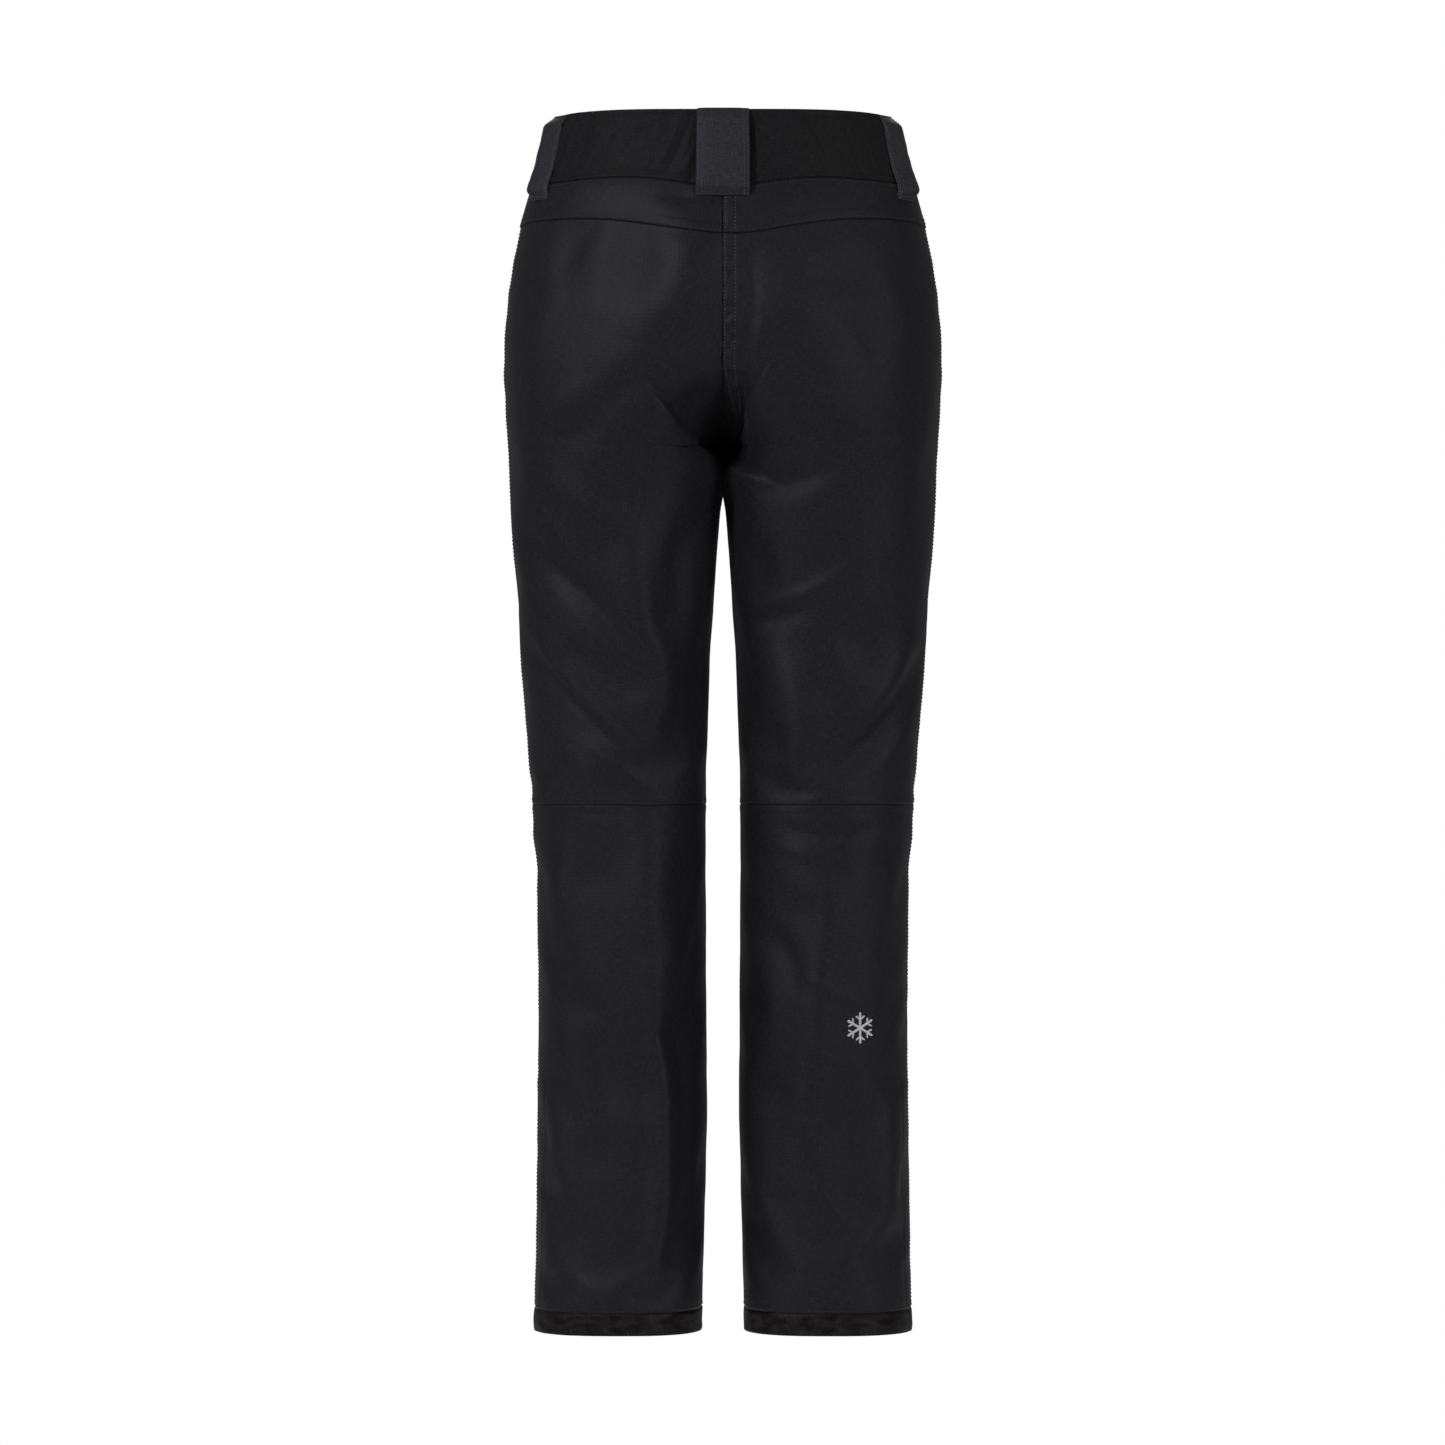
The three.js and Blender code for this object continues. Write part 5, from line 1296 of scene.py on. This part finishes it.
# ------------------------------------------------------------------ zips: woven tape with a coil of teeth
def zip_detail(name, node, body):
    """Reads where the CAD tape lies, and lays a woven tape and a nylon coil in the same place."""
    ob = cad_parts[node]
    co = np.array([v.co for v in ob.data.vertices]) * 1000
    c = co.mean(0)
    w_, v_ = np.linalg.eigh(np.cov((co - c).T))
    along, across, out = v_[:, 2], v_[:, 1], v_[:, 0]
    if along[2] < 0: along = -along
    radial = np.array([c[0], c[1], 0]);
    if out @ radial < 0: out = -out
    across = np.cross(along, out)
    lo, hi = ((co - c) @ along).min(), ((co - c) @ along).max()
    wlo, whi = ((co - c) @ across).min(), ((co - c) @ across).max()
    olo = ((co - c) @ out).min()
    mid_w = (wlo + whi) / 2
    W = whi - wlo
    n = int((hi - lo) / 1.6)
    s = np.linspace(lo, hi, n)
    k = np.concatenate([[-1, -0.97, -0.9], np.linspace(-0.8, 0.8, 17), [0.9, 0.97, 1]])
    grid = []
    for a in s:
        r_ = []
        for b in k:
            lift = 0.75 + 0.1 * math.sin(a * 2.2 + b * 9) - 0.25 * (abs(b) > 0.93)
            if abs(b) < 0.18: lift += 0.35
            r_.append(c + along * a + across * (mid_w + b * W / 2) + out * (olo + lift))
        r_ += [c + along * a + across * (mid_w + b * W / 2) + out * olo for b in k[::-1]]
        grid.append(r_)
    grid = np.array(grid) / 1000
    R, C = grid.shape[:2]
    faces = [tuple(int(x) for x in f) for f in grid_faces(R, C, closed=True)]
    faces.append(tuple(range(C))); faces.append(tuple((R - 1) * C + i for i in range(C)))
    uv = np.array([[[b * W / 2, a] for b in k] + [[b * W / 2, a] for b in k[::-1]] for a in s]).reshape(-1, 2) / 1000
    tape = new_object(name + "_tape", grid.reshape(-1, 3), faces, M["tape"], uv)
    import bmesh
    bm = bmesh.new(); bm.from_mesh(tape.data); bmesh.ops.recalc_face_normals(bm, faces=bm.faces); bm.to_mesh(tape.data); bm.free()
    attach(tape, body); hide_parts(node)
    # coil: interlocked loops from both sides
    V, F = [], []
    bi = 0
    seg, rad = 9, 0.33
    pitch = 1.25
    m = int((hi - lo - 5) / pitch)
    for i in range(m):
        a0 = lo + 2.5 + i * pitch
        sgn = 1 if i % 2 else -1
        th = np.linspace(-0.15, math.pi + 0.15, seg)
        path = [c + along * (a0 + 0.32 * math.cos(t) * 0) + across * (mid_w + sgn * 0.15 + 2.0 * math.cos(t)) + out * (olo + 1.0 + 0.62 * math.sin(t)) for t in th]
        path = np.array(path)
        tan = unit(np.gradient(path, axis=0))
        nn = np.tile(along, (seg, 1)); bb = np.cross(tan, nn)
        ang = np.arange(5) / 5 * 2 * math.pi
        v = (path[:, None] + rad * (np.cos(ang)[None, :, None] * nn[:, None] + np.sin(ang)[None, :, None] * bb[:, None])).reshape(-1, 3)
        V.append(v); F.append(grid_faces(seg, 5, closed=True, start=bi)); bi += len(v)
    coil = new_object(name + "_coil", np.concatenate(V) / 1000, np.concatenate(F), M["coil"])
    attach(coil, body)


for hand, side in HANDS:
    zip_detail("pocket_zip_" + hand, "pocket_" + hand + "_zip_tape", "pelvis")
    zip_detail("ankle_zip_" + hand, "ankle_" + hand + "_zip_tape", "shin_" + hand)
zip_detail("fly_zip", "fly_zip_tape", "pelvis")

# ------------------------------------------------------------------ CAD pieces that stay: metal and inner cloth
for n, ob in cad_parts.items():
    if n.startswith("ankle") and n.endswith(("zip_slider", "zip_pull")):
        m = M["dark_metal"]
    elif n.endswith(("zip_slider", "zip_pull")) or n.startswith("snap_"):
        m = M["metal"]
    elif n.startswith(("pocket_bag", "fly_shield")):
        m = M["pocket"]
    else:
        continue
    for s in ob.material_slots:
        s.material = m

# ------------------------------------------------------------------ waist tab: two layers of band cloth, turned in and stitched round
TAB_X, TAB_H, TAB_OFF, TAB_THICK, TAB_R = (56.8, -46.0), (993.0, 1031.0), 3.0, 2.2, 6.5
T_H = np.arange(984, 1044, 2.0)
T_U = np.linspace(0.7, 1, 600)
T_X = base(T_U[None, :], T_H[:, None])[..., 0]


def front_point(x, h, off):
    """A point this far in front of the smooth front of the waist, with its outward normal."""
    x, h = np.broadcast_arrays(np.asarray(x, float), np.asarray(h, float))
    u = np.zeros(x.shape)
    for k in np.ndindex(x.shape):
        i = int(min(len(T_H) - 2, max(0, (h[k] - 984) // 2)))
        f = (h[k] - T_H[i]) / 2
        u[k] = np.interp(abs(x[k]), T_X[i][::-1], T_U[::-1]) * (1 - f) + np.interp(abs(x[k]), T_X[i + 1][::-1], T_U[::-1]) * f
    sd = np.where(x < 0, -1.0, 1.0)
    p = base(u, h) * np.stack([sd, sd * 0 + 1, sd * 0 + 1], -1)
    n = base_normal(np.minimum(u, 0.9999), h) * np.stack([sd, sd * 0 + 1, sd * 0], -1)
    n = unit(n)
    return p + n * np.asarray(off)[..., None], n


def tab_piece():
    a_, b_ = TAB_X
    e = np.concatenate([np.linspace(0, TAB_R, 9)[:-1], np.linspace(TAB_R, abs(b_ - a_) - TAB_R, 70), np.linspace(abs(b_ - a_) - TAB_R, abs(b_ - a_), 9)[1:]])
    end = np.minimum(e, abs(b_ - a_) - e)
    e = e + 0 * end
    cut = np.where(end < TAB_R, TAB_R - np.sqrt(np.maximum(0, TAB_R**2 - (TAB_R - end) ** 2)), 0)
    hh = (TAB_H[1] - TAB_H[0]) / 2 - cut
    k = np.concatenate([[-1, -0.985, -0.96, -0.92], np.linspace(-0.86, 0.86, 27), [0.92, 0.96, 0.985, 1]])
    X = np.broadcast_to((a_ - e)[:, None], (len(e), len(k)))
    Z = (TAB_H[0] + TAB_H[1]) / 2 + hh[:, None] * k[None]
    inside = np.minimum(hh[:, None] * (1 - np.abs(k[None])), np.broadcast_to(end[:, None], X.shape))
    press = -0.3 * np.exp(-(((inside - 3.0) / 0.7) ** 2)) + 0.12 * vnoise(np.stack([X, X * 0, Z], -1), (8, 1, 8), 71)
    rise = TAB_THICK * np.sqrt(np.clip(1 - (1 - np.clip(inside / 1.3, 0, 1)) ** 2, 0, 1)) * 0.55 + TAB_THICK * 0.45
    outer, N = front_point(X, Z, TAB_OFF + rise + press * np.clip(inside / 2, 0, 1))
    inner, _ = front_point(X, Z, TAB_OFF + 0.1 + 0 * X)
    grid = np.concatenate([outer, inner[:, ::-1]], 1)
    R, C = grid.shape[:2]
    faces = [tuple(int(v) for v in f) for f in grid_faces(R, C, closed=True)]
    n_ = len(k)
    for i in (0, R - 1):
        for j in range(n_ - 1):
            faces.append((i * C + j, i * C + j + 1, i * C + C - 2 - j, i * C + C - 1 - j))
    uv = np.concatenate([np.stack([X, Z], -1), np.stack([X, Z], -1)[:, ::-1]], 1)
    ob = new_object("waist_tab_cloth", row(grid).reshape(-1, 3), faces, M["band"], uv.reshape(-1, 2) / 1000)
    import bmesh
    bm = bmesh.new(); bm.from_mesh(ob.data)
    bmesh.ops.remove_doubles(bm, verts=bm.verts, dist=1e-6)
    bmesh.ops.recalc_face_normals(bm, faces=bm.faces); bm.to_mesh(ob.data); bm.free()
    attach(ob, "waist_tab"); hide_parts("waist_tab")
    m = 3.0
    xa, xb, za, zb = a_ - m, b_ + m, TAB_H[0] + m, TAB_H[1] - m
    r_ = TAB_R - m
    loop_ = []
    for (cx_, cz_, t0) in ((xa - r_, zb - r_, 0), (xb + r_, zb - r_, 90), (xb + r_, za + r_, 180), (xa - r_, za + r_, 270)):
        for t in np.radians(np.linspace(t0, t0 + 90, 7)):
            loop_.append((cx_ + r_ * math.cos(t), cz_ + r_ * math.sin(t)))
    loop_.append(loop_[0])
    loop_ = np.array(loop_)
    seg = np.concatenate([[0], np.cumsum(np.linalg.norm(np.diff(loop_, axis=0), axis=1))])
    at = np.linspace(0, seg[-1], 260)
    lx, lz = np.interp(at, seg, loop_[:, 0]), np.interp(at, seg, loop_[:, 1])
    p, n = front_point(lx, lz, TAB_OFF + TAB_THICK - 0.25 + 0 * lx)
    st = stitches("waist_tab_stitching", [stitch_row(p, n, pitch=3.0, length=2.2, radius=0.36)], M["stitch"])
    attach(st, "waist_tab")


tab_piece()


# ------------------------------------------------------------------ embroidery on the right calf: a plain snowflake in satin stitch
def satin_bar(p0, p1, width):
    """Threads laid side by side across a bar from p0 to p1: places on the cloth and how high each lies, in mm."""
    d = np.array(p1, float) - np.array(p0, float)
    L = np.hypot(*d)
    d = d / L
    nrm = np.array([-d[1], d[0]])
    out = []
    for i in range(int(L / 0.42)):
        s = (i + 0.5) * 0.42
        c = np.array(p0) + d * s
        w = width * (0.5 + 0.5 * min(1, s / 1.2, (L - s) / 1.2)) * (1 + 0.05 * math.sin(i * 2.4))
        k = np.linspace(-1, 1, 7)
        lift = 0.35 + 0.62 * np.sqrt(np.clip(1 - k**2, 0, 1))
        out.append(np.stack([c[0] + nrm[0] * k * w / 2 + d[0] * 0.14 * k, c[1] + nrm[1] * k * w / 2 + d[1] * 0.14 * k, lift], 1))
    return out


def u_at(x, h):
    us = np.linspace(0.0, 0.5, 400)
    xs = base(us, np.full(400, h))[:, 0]
    return float(np.interp(x, xs, us))


def embroidery():
    side, X0, H0 = -1, 118.0, 268.0
    u0 = u_at(X0, H0)
    L = float(half_length(0.2, H0))
    threads = []
    R = 13.5
    for a in range(0, 360, 60):
        t = math.radians(a + 90)
        e = np.array([math.cos(t), math.sin(t)])
        threads += satin_bar((0, 0), tuple(e * R), 2.3)
        for b in (55, -55):
            tt = t + math.radians(b)
            f = np.array([math.cos(tt), math.sin(tt)])
            threads += satin_bar(tuple(e * R * 0.55), tuple(e * R * 0.55 + f * 5.2), 1.7)
    T = np.array(threads)
    p, n, _, _ = skin_frame(u0 + T[..., 0] / L * 0.5, H0 + T[..., 1], side)
    q = p + n * T[..., 2:3]
    V, F, bi = [], [], 0
    ang = np.arange(5) / 5 * 2 * math.pi
    for i in range(len(q)):
        tan = unit(np.gradient(q[i], axis=0))
        bit = np.cross(n[i], tan)
        v = (q[i][:, None] + 0.24 * (np.cos(ang)[None, :, None] * bit[:, None] + np.sin(ang)[None, :, None] * n[i][:, None])).reshape(-1, 3)
        V.append(v); F.append(grid_faces(7, 5, closed=True, start=bi)); bi += len(v)
    ob = new_object("calf_snowflake", row(np.concatenate(V)), np.concatenate(F), M["silver"])
    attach(ob, "shin_right"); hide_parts("calf_embroidery")


embroidery()

# ------------------------------------------------------------------ floor, light, camera
def stage_material():
    mat = bpy.data.materials.new("pale_floor")
    nt, bsdf = nodes_of(mat)
    bsdf.inputs["Base Color"].default_value = (0.02, 0.02, 0.02, 1)
    bsdf.inputs["Roughness"].default_value = 0.95
    bsdf.inputs["Specular IOR Level"].default_value = 0.1
    bsdf.inputs["Emission Color"].default_value = (1, 1, 1, 1)
    bsdf.inputs["Emission Strength"].default_value = 1.0
    return mat


floor_z = -ORIGIN / 1000 - 0.32
me = bpy.data.meshes.new("floor")
disc = [(1.7 * math.cos(i / 96 * 2 * math.pi), 1.7 * math.sin(i / 96 * 2 * math.pi), floor_z) for i in range(96)]
me.from_pydata(disc, [], [tuple(range(96))])
floor = bpy.data.objects.new("floor", me)
scene.collection.objects.link(floor)
me.materials.append(stage_material())

world = bpy.data.worlds.new("studio")
scene.world = world
world.use_nodes = True
wn, wl = world.node_tree.nodes, world.node_tree.links
seen = wn["Background"]
seen.inputs[0].default_value = (1, 1, 1, 1)
seen.inputs[1].default_value = 1.0
lit = wn.new("ShaderNodeBackground")
lit.inputs[0].default_value = (0.97, 0.98, 1.0, 1)
lit.inputs[1].default_value = 0.22
path = wn.new("ShaderNodeLightPath")
both = wn.new("ShaderNodeMixShader")
wl.new(path.outputs["Is Camera Ray"], both.inputs[0])
wl.new(lit.outputs[0], both.inputs[1])
wl.new(seen.outputs[0], both.inputs[2])
wl.new(both.outputs[0], wn["World Output"].inputs[0])


def area(name, loc, target, size, power, colour=(1, 1, 1)):
    d = bpy.data.lights.new(name, "AREA")
    d.shape = "RECTANGLE"; d.size, d.size_y = size
    d.energy = power
    d.color = colour
    o = bpy.data.objects.new(name, d)
    scene.collection.objects.link(o)
    o.location = loc
    o.rotation_euler = (Vector(target) - Vector(loc)).to_track_quat("-Z", "Y").to_euler()
    return o


mid = Vector((0, 0, -0.5))
area("key", (3.1, 3.7, 2.2), mid, (0.8, 1.1), 225, (0.98, 0.98, 1.0))
area("left_soft", (3.6, 1.2, 0.0), mid, (1.2, 2.2), 14, (1.0, 0.99, 0.98))
area("right_soft", (-3.4, 3.0, 0.6), mid, (1.2, 2.2), 98, (1.0, 0.99, 0.98))
area("front_soft", (0.0, -3.6, 2.2), mid, (1.6, 1.6), 150)

cam_d = bpy.data.cameras.new("camera")
cam = bpy.data.objects.new("camera", cam_d)
scene.collection.objects.link(cam)
DIST = 5.5
cam.location = (0.0004, DIST, (MID - 8.2 - ORIGIN) / 1000)
cam.rotation_euler = (math.radians(90), 0, math.radians(180))
cam_d.sensor_width = 36
cam_d.lens = 36 * DIST / (1445 * PX / 1000)
cam_d.clip_start, cam_d.clip_end = 0.1, 200
scene.camera = cam
scene.view_settings.view_transform = "Standard"
